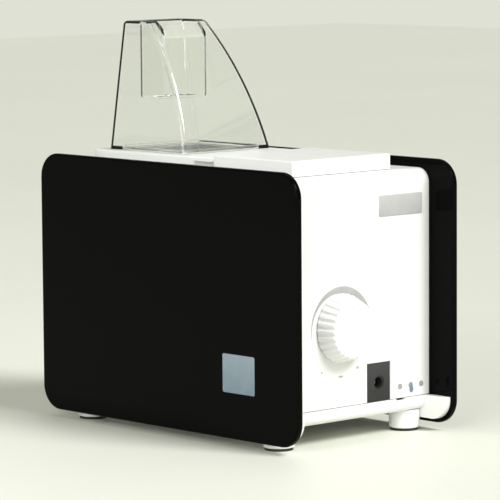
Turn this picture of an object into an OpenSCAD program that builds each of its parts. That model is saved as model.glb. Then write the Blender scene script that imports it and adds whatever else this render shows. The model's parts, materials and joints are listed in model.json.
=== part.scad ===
// Cool mist humidifier that stands between two tall side panels.
// Units are millimetres. +Z is up, the front with the knob faces -Y,
// and the origin lies on the table, in the middle of the footprint.

/* [Side panels] */
// Length of each side panel, front to back
panel_l = 217; // [205:1:230]
// Height of each side panel
panel_h = 150; // [146:1:154]
// Thickness of each side panel
panel_t = 3.6; // [3.2:0.1:4.2]
// Gap between the table and the panels' lower edge
panel_lift = 4.4; // [3:0.1:5]
// Radius of the panels' corners
panel_r = 14; // [10:0.5:18]

/* [Housing] */
// Width of the housing between the panels
body_w = 117.4; // [114:0.2:122]
// Length of the housing, front to back
body_l = 179.2; // [178:0.2:186]
// Height of the housing's flat top above the table
body_top = 149; // [148:0.5:150]
// Height of the seam between the housing and the base tray
seam_z = 20.6; // [20.4:0.1:21]
// Wall of the housing and of the tray
wall = 2.4; // [2:0.1:2.6]
// Radius of the housing's front and rear top edges
top_edge_r = 8; // [6:0.5:10]
// Height of the tray's underside above the table
tray_z = 11.9; // [11.5:0.1:12.2]

/* [Deck and cover] */
// Width of the raised deck and of the bottle cover
deck_w = 76; // [74:0.5:80]
// Height of the deck's top above the table
deck_top = 156.2; // [155.5:0.1:157]
// Height of the bottle cover's top above the table
cover_top = 158; // [157.5:0.1:160]

/* [Nozzle] */
// Width of the nozzle at its foot
nozzle_w = 68; // [66:0.5:70]
// Front of the nozzle's foot
nozzle_y0 = 14; // [13:0.5:15]
// Back of the nozzle
nozzle_y1 = 80; // [79:0.5:82]
// Height of the nozzle's top above the table
nozzle_top = 230.5; // [226:0.5:236]
// Radius of the nozzle's curved front wall
nozzle_front_r = 157; // [150:1:170]
// How far each side leans in for each millimetre of height
nozzle_lean = 0.15; // [0.1:0.01:0.18]
// Wall of the nozzle
nozzle_wall = 2; // [1.6:0.1:2.4]
// Height of the lower end of the mist duct
duct_z = 185.5; // [180:0.5:195]

/* [Water] */
// Inner radius of the bottle well
well_r = 31; // [30:0.1:31]
// Height of the bottle well's floor
well_floor = 92; // [91:0.5:93]
// Height of the water basin's floor
basin_floor = 62; // [61.5:0.5:63]

/* [Controls] */
// Sideways place of the knob
knob_x = -10.9; // [-14:0.1:-8]
// Height of the knob's centre
knob_z = 64.5; // [62:0.1:67]
// Radius of the knob at its foot
knob_r = 19.5; // [18:0.1:21]
// Radius of the knob's face
knob_face_r = 16; // [15:0.1:17]
// Number of grip flutes
knob_flutes = 28; // [20:1:32]
// Sideways place of the power socket
jack_x = 18.6; // [18:0.1:19]
// Height of the power socket's centre
jack_z = 30.9; // [30.5:0.1:31.5]

/* [Hidden] */
$fn = 96;
eps = 0.1;        // how far a cutter runs past the face that it cuts
gap = 0.3;        // clearance between pieces that move apart
run_gap = 0.05;   // radial running clearance of a shaft

half_w = body_w / 2;
half_l = body_l / 2;
inner_x = half_w - wall;
inner_y = half_l - wall;
inner_top = body_top - wall;
panel_top = panel_lift + panel_h;
tray_floor = tray_z + wall;
tray_w = body_w - 8;          // the side rails fill 4 mm on each side
rail_top = seam_z - 0.4;
rail_inset = 2.5;             // the rails end this far inside the panels' outline
rail_tab = 2.2;               // how far a rail's nose is let into its panel
foot_r = 8.8;
foot_x = 49;
foot_y = 79;
pad_t = 1.5;

deck_y0 = -15;
deck_y1 = 88.5;
cover_y0 = -80;
well_y = -47.5;
well_wall = 1.6;
socket_r = 17;
socket_floor = 72;

basin_w = 66;
basin_y0 = -2;
basin_y1 = 76;
mouth_w = 60;                 // opening through deck and housing above the basin
mouth_y0 = 18;
mouth_y1 = 74;
disc_y = 44;                  // place of the transducer and of the fan
disc_r = 10.4;
float_x = -20;
float_y = 12;
pipe_z = 77;
pipe_bore = 3.6;

fan_y = 42;
fan_w = 60;
fan_z0 = 17;
fan_z1 = 32;
plenum_top = 53;
riser_top = 142;

board_z = 24;
board_t = 1.6;
board_top = board_z + board_t;
post_x = 50.3;
post_y = 60;
standoffs = [[-40, -78], [40, -68], [-40, -2], [40, -2]];
panel_posts = [[-70, 45], [-70, 130], [70, 45], [70, 130]];
lamp_xs = [35, 43.5, 52];
lamp_z = 27;
plate_x0 = 8.7;
plate_x1 = 27.3;
plate_top = 42.5;
knob_depth = 9.5;
knob_back = -half_l - 0.5;
shaft_r = 3;

slab_corner = 1.5;            // upright corners of the deck and the cover
duct_hw = 16.9;               // half width of the mist duct, outside
duct_y0 = 49.8;
duct_y1 = 71.7;
duct_wall = 1.7;

// ---------- shared shapes ----------

// A box from its low corner to its high corner.
module block(low, high) {
    translate(low) cube([high[0] - low[0], high[1] - low[1], high[2] - low[2]]);
}

// A flat outline with four round corners, from low to high.
module round_rect(low, high, r) {
    w = high[0] - low[0];
    h = high[1] - low[1];
    translate(low) {
        translate([r, 0]) square([w - 2 * r, h]);
        translate([0, r]) square([w, h - 2 * r]);
        for (x = [r, w - r], y = [r, h - r]) translate([x, y]) circle(r);
    }
}

// An upright slab with round corners in plan.
module round_slab(low, high, r) {
    translate([0, 0, low[2]]) linear_extrude(high[2] - low[2])
        round_rect([low[0], low[1]], [high[0], high[1]], r);
}

// Pushes an outline drawn in Y and Z out along X, from x0 to x1.
module along_x(x0, x1) {
    translate([x0, 0, 0]) rotate([90, 0, 90]) linear_extrude(x1 - x0) children();
}

// Pushes an outline drawn in X and Z out along Y, from y0 to y1.
module along_y(y0, y1) {
    translate([0, y1, 0]) rotate([90, 0, 0]) linear_extrude(y1 - y0) children();
}

// A round rod along Y, from y0 to y1.
module rod_y(x, z, r, y0, y1) {
    translate([x, y1, z]) rotate([90, 0, 0]) cylinder(h = y1 - y0, r = r);
}

// A round rod along X, from x0 to x1.
module rod_x(y, z, r, x0, x1) {
    translate([x0, y, z]) rotate([0, 90, 0]) cylinder(h = x1 - x0, r = r);
}

// An upright tube.
module tube(r_out, r_in, z0, z1) {
    translate([0, 0, z0]) difference() {
        cylinder(h = z1 - z0, r = r_out);
        translate([0, 0, -eps]) cylinder(h = z1 - z0 + 2 * eps, r = r_in);
    }
}

// An upright rod.
module rod(r, z0, z1) {
    translate([0, 0, z0]) cylinder(h = z1 - z0, r = r);
}

// A round wire through a list of points, with ball corners.
module wire(points, r) {
    for (i = [0 : len(points) - 2]) {
        d = points[i + 1] - points[i];
        translate(points[i]) rotate([0, acos(d[2] / norm(d)), atan2(d[1], d[0])])
            cylinder(h = norm(d), r = r, $fn = 16);
    }
    for (i = [1 : 1 : len(points) - 2]) translate(points[i]) sphere(r, $fn = 16);
}

// A pan-head screw that points up, with its head below z.
module screw_up(r, head_r, head_h, length) {
    difference() {
        translate([0, 0, -head_h]) cylinder(h = head_h, r = head_r, $fn = 32);
        for (a = [0, 90]) rotate(a) translate([-head_r * 0.6, -0.35, -head_h - eps])
            cube([head_r * 1.2, 0.7, head_h * 0.5 + eps]);
    }
    cylinder(h = length, r = r, $fn = 24);
}

// ---------- casing ----------

// Side outline of a panel, drawn in Y and Z, drawn in by inset.
module panel_outline(inset) {
    round_rect([-panel_l / 2 + inset, panel_lift + inset],
        [panel_l / 2 - inset, panel_top - inset], panel_r - inset);
}

// Side outline of a rail: the foot of the panel's outline.
module rail_outline(clear) {
    intersection() {
        panel_outline(rail_inset - clear);
        translate([-panel_l, 0]) square([panel_l * 2, rail_top + clear]);
    }
}

// The two end stretches of a rail, where its nose is let into the panel.
module rail_noses(clear) {
    intersection() {
        rail_outline(clear);
        for (s = [-1, 1]) translate([s * (half_l + 13) - 12 - clear, 0])
            square([24 + 2 * clear, panel_h]);
    }
}

// A side panel with four screw posts on its inner face. side is -1 left, 1 right.
module side_panel(side) {
    post_bore = 1.5;
    color("#141414") mirror([side < 0 ? 1 : 0, 0, 0]) difference() {
        union() {
            along_x(half_w, half_w + panel_t) panel_outline(0);
            for (p = panel_posts) rod_x(p[0], p[1], 3.5, inner_x, half_w + eps);
        }
        for (p = panel_posts) rod_x(p[0], p[1], post_bore, inner_x - eps, half_w + 2);
        along_x(half_w - eps, half_w + rail_tab + eps / 2) rail_noses(eps / 2);
        if (side < 0) label_pocket(eps / 2);
    }
}

// The flat space that the left panel's label fills, in mirrored place.
module label_pocket(clear) {
    along_x(half_w + panel_t - 0.6, half_w + panel_t + clear)
        round_rect([-74 - clear, 30.2 - clear], [-48 + clear, 51.8 + clear], 1.2);
}

module left_panel() side_panel(-1);
module right_panel() side_panel(1);

// Side outline of the housing, drawn in Y and Z: round top edges, flat foot.
module housing_outline(inset, z0) {
    r = top_edge_r - inset;
    l = half_l - inset;
    top = body_top - inset;
    translate([-l, z0]) square([2 * l, top - r - z0]);
    translate([-l + r, z0]) square([2 * (l - r), top - z0]);
    for (s = [-1, 1]) translate([s * (l - r), top - r]) circle(r);
}

module main_housing() {
    slot_h = 3;
    color("#f6f6f2") {
        difference() {
            along_x(-half_w, half_w) housing_outline(0, seam_z);
            along_x(-inner_x, inner_x) housing_outline(wall, seam_z - eps);
            // mouths of the bottle well and of the basin
            translate([0, well_y, 0]) rod(well_r, inner_top - eps, body_top + eps);
            block([-mouth_w / 2, mouth_y0, inner_top - eps], [mouth_w / 2, mouth_y1, body_top + eps]);
            // knob bushing, power socket and lamps
            rod_y(knob_x, knob_z, 3.5, -half_l - eps, -inner_y + eps);
            block([plate_x0, -half_l - eps, seam_z - eps], [plate_x1, -inner_y + eps, plate_top]);
            for (x = lamp_xs) rod_y(x, lamp_z, 1.5, -half_l - eps, -inner_y + eps);
            // holes for the panels' posts
            for (p = panel_posts, s = [-1, 1])
                rod_x(p[0], p[1], 3.7, s > 0 ? inner_x - eps : -half_w - eps,
                    s > 0 ? half_w + eps : -inner_x + eps);
            // cooling slots in the back
            for (s = [-1, 1], i = [0 : 6])
                block([s * 38 - 13, inner_y - eps, 44 + i * 8],
                    [s * 38 + 13, half_l + eps, 44 + i * 8 + slot_h]);
        }
        // posts for the screws from below
        for (sx = [-1, 1], sy = [-1, 1]) difference() {
            union() {
                translate([sx * post_x, sy * post_y, 0]) rod(4, tray_floor, 60);
                block([sx > 0 ? post_x : -inner_x - eps, sy * post_y - 1, seam_z + 1],
                    [sx > 0 ? inner_x + eps : -post_x, sy * post_y + 1, 60]);
            }
            translate([sx * post_x, sy * post_y, 0]) rod(1.4, tray_floor - eps, 34);
        }
    }
}

// Raised deck behind the bottle cover: a shallow tray turned over, with a collar.
module top_deck() {
    skin = 2.2;
    bar = 19;
    scoop_r = 11;
    color("#f6f6f2") difference() {
        round_slab([-deck_w / 2, deck_y0, body_top], [deck_w / 2, deck_y1, deck_top], slab_corner);
        difference() {
            round_slab([-deck_w / 2 + skin, deck_y0 + bar, body_top - eps],
                [deck_w / 2 - skin, deck_y1 - skin, deck_top - skin], 3);
            block([-mouth_w / 2 - skin, mouth_y0 - skin, body_top - 2 * eps],
                [mouth_w / 2 + skin, mouth_y1 + skin, deck_top]);
        }
        block([-mouth_w / 2, mouth_y0, body_top - eps], [mouth_w / 2, mouth_y1, deck_top + eps]);
        // finger scoops in the thick front bar, beside the cover
        for (s = [-1, 1]) translate([s * (deck_w / 2 + 7), deck_y0 + 8.5, 0])
            rod(scoop_r, body_top - eps, deck_top - skin);
    }
}

// Side outline of the tray, drawn in Y and Z: round lower edges, flat top.
module tray_outline(inset, top) {
    r = 5 - inset;
    l = half_l - inset;
    z0 = tray_z + inset;
    translate([-l, z0 + r]) square([2 * l, top - z0 - r]);
    translate([-l + r, z0]) square([2 * (l - r), top - z0]);
    for (s = [-1, 1]) translate([s * (l - r), z0 + r]) intersection() {
        circle(r);
        translate([-r, -r]) square([2 * r, r + eps]);
    }
}

module base_tray() {
    grille_w = 42;
    color("#f2f2ee") {
        difference() {
            along_x(-tray_w / 2, tray_w / 2) tray_outline(0, rail_top);
            along_x(-tray_w / 2 - eps, tray_w / 2 + eps) tray_outline(wall, rail_top + eps);
            // air intake with a ledge for its grille
            block([-grille_w / 2, fan_y - grille_w / 2, tray_z - eps],
                [grille_w / 2, fan_y + grille_w / 2, tray_floor + eps]);
            block([-grille_w / 2 - 1.6, fan_y - grille_w / 2 - 1.6, tray_z + 0.8],
                [grille_w / 2 + 1.6, fan_y + grille_w / 2 + 1.6, tray_floor + eps]);
            // screw holes under the housing's posts
            for (sx = [-1, 1], sy = [-1, 1]) translate([sx * post_x, sy * post_y, 0]) {
                rod(1.8, tray_z - eps, tray_floor + eps);
                rod(3.4, tray_z - eps, tray_z + 1.4);
            }
            // drip slot in the front lip
            block([32, -half_l - eps, rail_top - 1], [39, -inner_y + eps, rail_top + eps]);
        }
        for (p = standoffs) translate([p[0], p[1], 0]) tube(3, 1.1, tray_floor - eps, board_z);
        for (sx = [-1, 1], sy = [-1, 1]) translate([sx * 25, fan_y + sy * 25, 0])
            tube(3, 1.1, tray_floor - eps, fan_z0);
    }
}

// A rail under each side: it joins the tray to the panel. side is -1 left, 1 right.
module side_rail(side) {
    color("#f2f2ee") mirror([side < 0 ? 1 : 0, 0, 0]) {
        along_x(tray_w / 2, half_w) rail_outline(0);
        along_x(half_w - eps, half_w + rail_tab) rail_noses(0);
    }
}

module left_rail() side_rail(-1);
module right_rail() side_rail(1);

// One foot: a short drum, cut flat where the rail comes down beside it.
module foot(sx, sy) {
    color("#f4f4f0") translate([sx * foot_x, sy * foot_y, 0]) difference() {
        rod(foot_r, pad_t, tray_z);
        block([sx > 0 ? tray_w / 2 - foot_x : -20, -20, panel_lift + rail_inset - eps],
            [sx > 0 ? 20 : foot_x - tray_w / 2, 20, tray_z + eps]);
    }
}

module foot_front_left() foot(-1, -1);
module foot_front_right() foot(1, -1);
module foot_rear_left() foot(-1, 1);
module foot_rear_right() foot(1, 1);

// The rubber pad under a foot.
module pad(sx, sy) {
    color("#2c2c2c") translate([sx * foot_x, sy * foot_y, 0]) rod(foot_r - 0.8, 0, pad_t);
}

module pad_front_left() pad(-1, -1);
module pad_front_right() pad(1, -1);
module pad_rear_left() pad(-1, 1);
module pad_rear_right() pad(1, 1);

module intake_grille() {
    w = 44.8;
    color("#d8d8d4") difference() {
        block([-w / 2, fan_y - w / 2, tray_z + 0.8], [w / 2, fan_y + w / 2, tray_floor]);
        for (i = [-4 : 4]) block([-18, fan_y + i * 4.2 - 1.2, tray_z], [18, fan_y + i * 4.2 + 1.2, 20]);
    }
}

// Screws from below into the housing's posts.
module base_screws() {
    color("#b8bcc0") for (sx = [-1, 1], sy = [-1, 1])
        translate([sx * post_x, sy * post_y, tray_z + 1.4]) screw_up(1.4, 3.1, 1.3, 18);
}

// Screws from inside the housing into the panels' posts.
module panel_screws() {
    color("#b8bcc0") for (side = [-1, 1], p = panel_posts) mirror([side < 0 ? 1 : 0, 0, 0])
        translate([inner_x, p[0], p[1]]) rotate([0, 90, 0]) screw_up(1.5, 5, 2, 4.2);
}

// ---------- water ----------

// The cup that the bottle stands in, with the socket for the bottle's cap.
module bottle_well() {
    floor_t = 2;
    color("#f0f0ea") translate([0, well_y, 0]) difference() {
        union() {
            rod(well_r + well_wall, well_floor - floor_t, inner_top);
            rod(socket_r + well_wall, socket_floor - floor_t, well_floor);
        }
        rod(well_r, well_floor, inner_top + eps);
        rod(socket_r, socket_floor, well_floor + eps);
        rod_y(0, pipe_z, pipe_bore, 0, socket_r + 4);
        rod(2, socket_floor - floor_t - eps, socket_floor + eps);
    }
}

// The fixed pin that lifts the cap's valve when a bottle is pushed home.
module valve_pin() {
    color("#c8ccd0") translate([0, well_y, 0]) {
        rod(2, socket_floor - 2, 76);
        translate([0, 0, 76]) sphere(2);
    }
}

module feed_pipe() {
    color("#e6e6e0") difference() {
        rod_y(0, pipe_z, pipe_bore + 1.4, well_y + socket_r, basin_y0);
        rod_y(0, pipe_z, pipe_bore, well_y + socket_r - eps, basin_y0 + eps);
        translate([0, well_y, 0]) rod(socket_r + well_wall, pipe_z - 10, pipe_z + 10);
    }
}

module water_basin() {
    t = 2;
    boss_r = 14.5;
    color("#f0f0ea") difference() {
        union() {
            round_slab([-basin_w / 2, basin_y0, basin_floor - t],
                [basin_w / 2, basin_y1, inner_top], 4);
            translate([0, disc_y, 0]) rod(boss_r, basin_floor - 5, basin_floor - t + eps);
        }
        round_slab([-basin_w / 2 + t, basin_y0 + t, basin_floor],
            [basin_w / 2 - t, basin_y1 - t, inner_top + eps], 3);
        // seat of the transducer
        translate([0, disc_y, 0]) {
            rod(8.5, basin_floor - 6, basin_floor + eps);
            rod(disc_r + 0.1, basin_floor - 6, basin_floor - t);
            for (a = [0 : 120 : 359]) rotate(a) translate([12.4, 0, 0]) rod(0.8, 50, basin_floor - t - 0.5);
        }
        rod_y(0, pipe_z, pipe_bore, basin_y0 - eps, basin_y0 + 2 * t);
        // air window from the riser
        block([-15, basin_y1 - 2 * t, 118], [15, basin_y1 + eps, 138]);
        // foot of the float's post
        translate([float_x, float_y, 0]) rod(1.2, basin_floor - t - eps, basin_floor + eps);
    }
}

module transducer_seal() {
    color("#303030") translate([0, disc_y, 0]) tube(disc_r, 8.5, basin_floor - 3.6, basin_floor - 2);
}

module transducer_disc() {
    color("#d9b36a") translate([0, disc_y, 0]) rod(disc_r, basin_floor - 5, basin_floor - 3.6);
}

module transducer_ring() {
    color("#c8ccd0") translate([0, disc_y, 0]) difference() {
        tube(14.5, 8, basin_floor - 6.4, basin_floor - 5);
        for (a = [0 : 120 : 359]) rotate(a) translate([12.4, 0, 0]) rod(0.9, 50, 60);
    }
}

module transducer_screws() {
    color("#b8bcc0") translate([0, disc_y, basin_floor - 6.4])
        for (a = [0 : 120 : 359]) rotate(a) translate([12.4, 0, 0]) screw_up(0.8, 1.8, 1, 3.6);
}

module float_post() {
    color("#e6e6e0") translate([float_x, float_y, 0]) {
        rod(1.2, basin_floor - 2, basin_floor);
        rod(2, basin_floor, 98);
        rod(1.2, 98 - eps, 100);
    }
}

module float_clip() {
    color("#c8ccd0") translate([float_x, float_y, 0]) tube(3.6, 1.2, 98, 99.2);
}

module water_float() {
    color("#fafafa") translate([float_x, float_y, 0]) difference() {
        rod(7, basin_floor + gap, basin_floor + 9);
        rod(2.4, basin_floor, basin_floor + 10);
        tube(5.8, 3.6, basin_floor, basin_floor + 7.4);
    }
}

// ---------- air ----------

// Plenum on top of the fan, and the riser behind the basin.
module air_duct() {
    t = 1.6;
    hw = 31;
    y0 = fan_y - hw;
    y1 = fan_y + hw;
    back = inner_y - 0.4;
    color("#e2e2dc") difference() {
        union() {
            block([-hw, y0, fan_z1], [hw, y1, plenum_top]);
            block([-18, y1 - eps, fan_z1 + 4], [18, back, plenum_top]);
            block([-18, basin_y1, plenum_top - eps], [18, back, riser_top]);
        }
        block([-hw + t, y0 + t, fan_z1 - eps], [hw - t, y1 - t, plenum_top - t]);
        block([-18 + t, y1 - 2 * t, fan_z1 + 4 + t], [18 - t, back - t, plenum_top - t]);
        block([-18 + t, basin_y1 + t, plenum_top - 2 * t], [18 - t, back - t, riser_top - t]);
        block([-15, basin_y1 - eps, 118], [15, basin_y1 + 2 * t, 138]);
    }
}

module fan_frame() {
    bore = 28.4;
    color("#262626") translate([0, fan_y, 0]) {
        difference() {
            round_slab([-fan_w / 2, -fan_w / 2, fan_z0], [fan_w / 2, fan_w / 2, fan_z1], 4);
            rod(bore, fan_z0 - eps, fan_z1 + eps);
            for (sx = [-1, 1], sy = [-1, 1]) translate([sx * 25, sy * 25, 0])
                rod(1.8, fan_z0 - eps, fan_z1 + eps);
        }
        difference() {
            union() {
                rod(12, fan_z0, fan_z0 + 3);
                for (a = [45 : 90 : 359]) rotate(a) block([11, -1.5, fan_z0], [bore + 0.5, 1.5, fan_z0 + 2.4]);
            }
            rod(1.5 + run_gap, fan_z0 + 1, fan_z0 + 4);
        }
    }
}

module fan_rotor() {
    blades = 7;
    color("#333333") translate([0, fan_y, 0]) difference() {
        union() {
            rod(11.5, fan_z0 + 4, fan_z1 - 1);
            intersection() {
                tube(27.4, 11, fan_z0 + 4, fan_z1 - 1);
                for (i = [0 : blades - 1]) rotate(i * 360 / blades)
                    translate([10, 0, (fan_z0 + fan_z1 + 3) / 2]) rotate([52, 0, 0])
                        translate([0, -9, -0.7]) cube([19, 18, 1.4]);
            }
        }
        rod(1.5, fan_z0 + 3, fan_z1 - 4);
    }
}

module fan_shaft() {
    color("#b8bcc0") translate([0, fan_y, 0]) rod(1.5, fan_z0 + 1.4, fan_z1 - 4);
}

module fan_screws() {
    color("#b8bcc0") for (sx = [-1, 1], sy = [-1, 1]) translate([sx * 25, fan_y + sy * 25, 0])
        rod(1.1, tray_floor + 0.2, fan_z1 - 0.2);
}

// ---------- electronics ----------

module circuit_board() {
    color("#1f6b3a") difference() {
        union() {
            block([-44, -84, board_z], [44, 4, board_top]);
            block([44 - eps, -84, board_z], [54, -72, board_top]);
        }
        for (p = standoffs) translate([p[0], p[1], 0]) rod(1.6, board_z - eps, board_top + eps);
    }
}

module board_screws() {
    color("#b8bcc0") for (p = standoffs) translate([p[0], p[1], board_top + 0.05])
        rotate([180, 0, 0]) screw_up(1.1, 2.8, 1.4, 6);
}

module heat_sink() {
    fins = 6;
    color("#9aa0a6") {
        block([-40, -58, board_top], [-14, -32, board_top + 3]);
        for (i = [0 : fins - 1]) block([-40 + i * 4.84, -58, board_top + 3 - eps],
            [-38.2 + i * 4.84, -32, board_top + 22]);
    }
}

module power_transistor() {
    color("#202020") {
        block([-12.5, -50, board_top + 2], [-8.5, -40, board_top + 16]);
        for (i = [-1 : 1]) block([-11, -45.4 + i * 2.54, board_top], [-10, -44.6 + i * 2.54, board_top + 2 + eps]);
    }
}

module capacitors() {
    color("#27405f") {
        translate([2, -36, 0]) rod(8, board_top, board_top + 25);
        translate([20, -46, 0]) rod(5, board_top, board_top + 16);
        translate([32, -50, 0]) rod(4, board_top, board_top + 12);
    }
}

module coils() {
    color("#b87333") {
        translate([26, -24, board_top + 5]) rotate_extrude() translate([7, 0]) circle(4);
        translate([-4, -12, 0]) rod(6, board_top, board_top + 12);
    }
}

module potentiometer() {
    color("#5a5f63") difference() {
        union() {
            rod_y(knob_x, knob_z, 8.5, -85, -75);
            rod_y(knob_x, knob_z, 3.4, -half_l - 1.9, -85 + eps);
            block([knob_x - 6, -80, knob_z - 13], [knob_x + 6, -78.6, knob_z - 7]);
        }
        rod_y(knob_x, knob_z, shaft_r + run_gap, -half_l - 3, -76.6);
    }
}

module pot_nut() {
    color("#c8ccd0") difference() {
        translate([knob_x, -half_l, knob_z]) rotate([90, 0, 0]) cylinder(h = 2, r = 5.6, $fn = 6);
        rod_y(knob_x, knob_z, 3.4, -half_l - 3, -half_l + 1);
    }
}

module pot_shaft() {
    color("#c8ccd0") rod_y(knob_x, knob_z, shaft_r, -97.6, -77);
}

// Tapered knob with grip flutes, hollow behind its face. Its axis runs along Y.
module mist_knob() {
    hollow_r = 12.6;
    hub_r = 5.4;
    face_t = 3.1;
    lean = atan((knob_r - knob_face_r) / knob_depth);
    color("#fafaf8") translate([knob_x, knob_back, knob_z]) rotate([90, 0, 0]) {
        difference() {
            cylinder(h = knob_depth, r1 = knob_r, r2 = knob_face_r);
            translate([0, 0, -eps]) cylinder(h = knob_depth - face_t + eps, r = hollow_r);
            translate([0, 0, knob_depth - 0.6]) cylinder(h = 1, r = knob_face_r - 3.2);
            for (i = [0 : knob_flutes - 1]) rotate(i * 360 / knob_flutes)
                translate([knob_r + 0.5, 0, 0]) rotate([0, -lean, 0])
                    translate([0, 0, -3]) cylinder(h = knob_depth + 6, r = 1.4, $fn = 24);
            translate([0, 0, -eps]) cylinder(h = 97.6 + knob_back + eps, r = shaft_r);
        }
        translate([0, 0, 2.1]) difference() {
            cylinder(h = knob_depth - face_t - 2, r = hub_r);
            translate([0, 0, -eps]) cylinder(h = knob_depth, r = shaft_r);
        }
        // raised pointer on the face's rim
        translate([-0.8, knob_face_r - 3.2, knob_depth - 0.6]) cube([1.6, 2.2, 1]);
    }
}

module jack_plate() {
    color("#3a3a3c") difference() {
        block([plate_x0 + eps, -half_l + 0.4, seam_z + eps], [plate_x1 - eps, -inner_y, plate_top - eps]);
        rod_y(jack_x, jack_z, 4, -half_l - 1, -inner_y + 1);
    }
}

module dc_jack() {
    color("#1c1c1c") difference() {
        union() {
            block([jack_x - 5.2, -inner_y, board_top], [jack_x + 5.2, -72.6, jack_z + 5.6]);
            rod_y(jack_x, jack_z, 3.95, -half_l + 1, -inner_y + eps);
        }
        rod_y(jack_x, jack_z, 3.2, -half_l - 1, -76);
    }
}

module jack_pin() {
    color("#d8c890") rod_y(jack_x, jack_z, 1.05, -85.2, -76);
}

module lamp_lenses() {
    color("#cfe6f2") for (x = lamp_xs) rod_y(x, lamp_z, 1.5, -half_l - 0.2, -inner_y);
}

module lamps() {
    color("#7fd0ff") for (x = lamp_xs) {
        rod_y(x, lamp_z + 1, 1.5, -86.4, -82);
        for (s = [-0.6, 0.6]) block([x + s - 0.25, -82.6, board_top], [x + s + 0.25, -82.1, lamp_z]);
    }
}

module front_badge() {
    color("#9a9a98") along_y(-half_l - 0.5, -half_l) round_rect([18.5, 124.2], [52.5, 136], 1);
}

module side_label() {
    color("#a9c3cf") mirror([1, 0, 0]) label_pocket(0);
}

// Leads from the board to the knob's resistor, the transducer and the fan.
module wiring() {
    color("#b03a2e") {
        for (s = [-3, 0, 3]) wire([[knob_x + s, -70, board_top], [knob_x + s, -70, 44],
            [knob_x + s, -79.2, 46], [knob_x + s, -79.2, knob_z - 13]], 0.6);
        for (s = [0, 2]) wire([[34 + s, -6, board_top], [34 + s, -6, 57], [34 + s, disc_y - s, 57],
            [15.4, disc_y - s, 57]], 0.6);
        for (s = [0, 2]) wire([[-20 + s, 1, board_top], [-20 + s, 1, 28], [-20 + s, fan_y - fan_w / 2, 28]], 0.5);
    }
}

// ---------- nozzle, cover and bottle cap ----------

// Centre of the arc through the nozzle's front foot and its top front edge.
nozzle_foot = deck_top + gap;
nozzle_a = [nozzle_y0, nozzle_foot];
nozzle_b = [nozzle_y0 + 42, nozzle_top - 1];
nozzle_mid = (nozzle_a + nozzle_b) / 2;
nozzle_dir = (nozzle_b - nozzle_a) / norm(nozzle_b - nozzle_a);
nozzle_sag = sqrt(pow(nozzle_front_r, 2) - pow(norm(nozzle_b - nozzle_a) / 2, 2));
nozzle_arc = nozzle_mid + nozzle_sag * [nozzle_dir[1], -nozzle_dir[0]];

// The nozzle's outer form, drawn in by inset all round: curved front, leaning sides.
module nozzle_form(inset, z0) {
    hw0 = nozzle_w / 2 - inset;
    z1 = nozzle_top - inset;
    hw1 = hw0 - nozzle_lean * (z1 - nozzle_foot);
    foot_hw = hw0 + nozzle_lean * (nozzle_foot - z0);
    intersection() {
        along_x(-nozzle_w, nozzle_w) intersection() {
            translate(nozzle_arc) circle(nozzle_front_r - inset, $fn = 180);
            translate([nozzle_y0 - 20, z0])
                square([nozzle_y1 - inset - nozzle_y0 + 20, z1 - z0]);
        }
        along_y(0, nozzle_y1 + 10)
            polygon([[-foot_hw, z0], [foot_hw, z0], [hw1, z1], [-hw1, z1]]);
    }
}

module mist_nozzle() {
    spigot = 0.4;
    t = 1.6;
    color("#dfe6e4", 0.45) {
        difference() {
            union() {
                difference() {
                    nozzle_form(0, nozzle_foot);
                    nozzle_form(nozzle_wall, nozzle_foot + t);
                }
                intersection() {
                    nozzle_form(0, nozzle_foot);
                    block([-duct_hw, duct_y0, duct_z], [duct_hw, duct_y1, nozzle_top]);
                }
                // spigot that drops into the deck
                block([-mouth_w / 2 + spigot, mouth_y0 + spigot, deck_top - 5],
                    [mouth_w / 2 - spigot, mouth_y1 - spigot, nozzle_foot + eps]);
            }
            block([-duct_hw + duct_wall, duct_y0 + duct_wall, duct_z - eps],
                [duct_hw - duct_wall, duct_y1 - duct_wall, nozzle_top + eps]);
            block([-mouth_w / 2 + spigot + t, mouth_y0 + spigot + t, deck_top - 6],
                [mouth_w / 2 - spigot - t, mouth_y1 - spigot - t, nozzle_foot + t + eps]);
        }
    }
}

module bottle_cover() {
    skin = 2.2;
    z0 = body_top + gap;
    color("#f8f8f5") {
        difference() {
            round_slab([-deck_w / 2, cover_y0, z0], [deck_w / 2, deck_y0 - gap, cover_top], slab_corner);
            round_slab([-deck_w / 2 + skin, cover_y0 + skin, z0 - eps],
                [deck_w / 2 - skin, deck_y0 - gap - skin, cover_top - skin], 4);
        }
        // ring that centres the cover in the well
        translate([0, well_y, 0]) tube(well_r - 0.6, well_r - 2.2, body_top - 6, cover_top - skin + eps);
    }
}

// Screw cap for the water bottle: it sits in the well's socket and holds the valve.
module bottle_adapter() {
    neck_r = 13.9;
    color("#4a7fa8") translate([0, well_y, 0]) difference() {
        union() {
            rod(socket_r - 1, 81, well_floor + 2);
            rod(21, well_floor + 1.5, well_floor + 3.5);
            rod(16.5, well_floor + 3.4, well_floor + 15);
            for (a = [0 : 15 : 359]) rotate(a) translate([16.4, 0, 0])
                rod(0.9, well_floor + 3.4, well_floor + 14);
        }
        rod(neck_r, well_floor + 3, well_floor + 16);
        rod(10, 90.5, well_floor + 4);
        rod(4.2, 87, 91);
        rod(13.4, 80, 88.5);
    }
}

module adapter_seal() {
    color("#303030") translate([0, well_y, 0]) tube(20.5, socket_r + 0.4, well_floor, well_floor + 1.2);
}

// Valve: a disc above the cap's seat, with a stem that the pin can lift.
module valve_plunger() {
    color("#f2f2f2") translate([0, well_y, 0]) {
        rod(8, 92, 93.5);
        rod(2, 79, 92 + eps);
        rod(5.8, 79, 80.4);
    }
}

module valve_seal() {
    color("#303030") translate([0, well_y, 0]) tube(8, 4.8, 90.8, 92);
}

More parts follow.
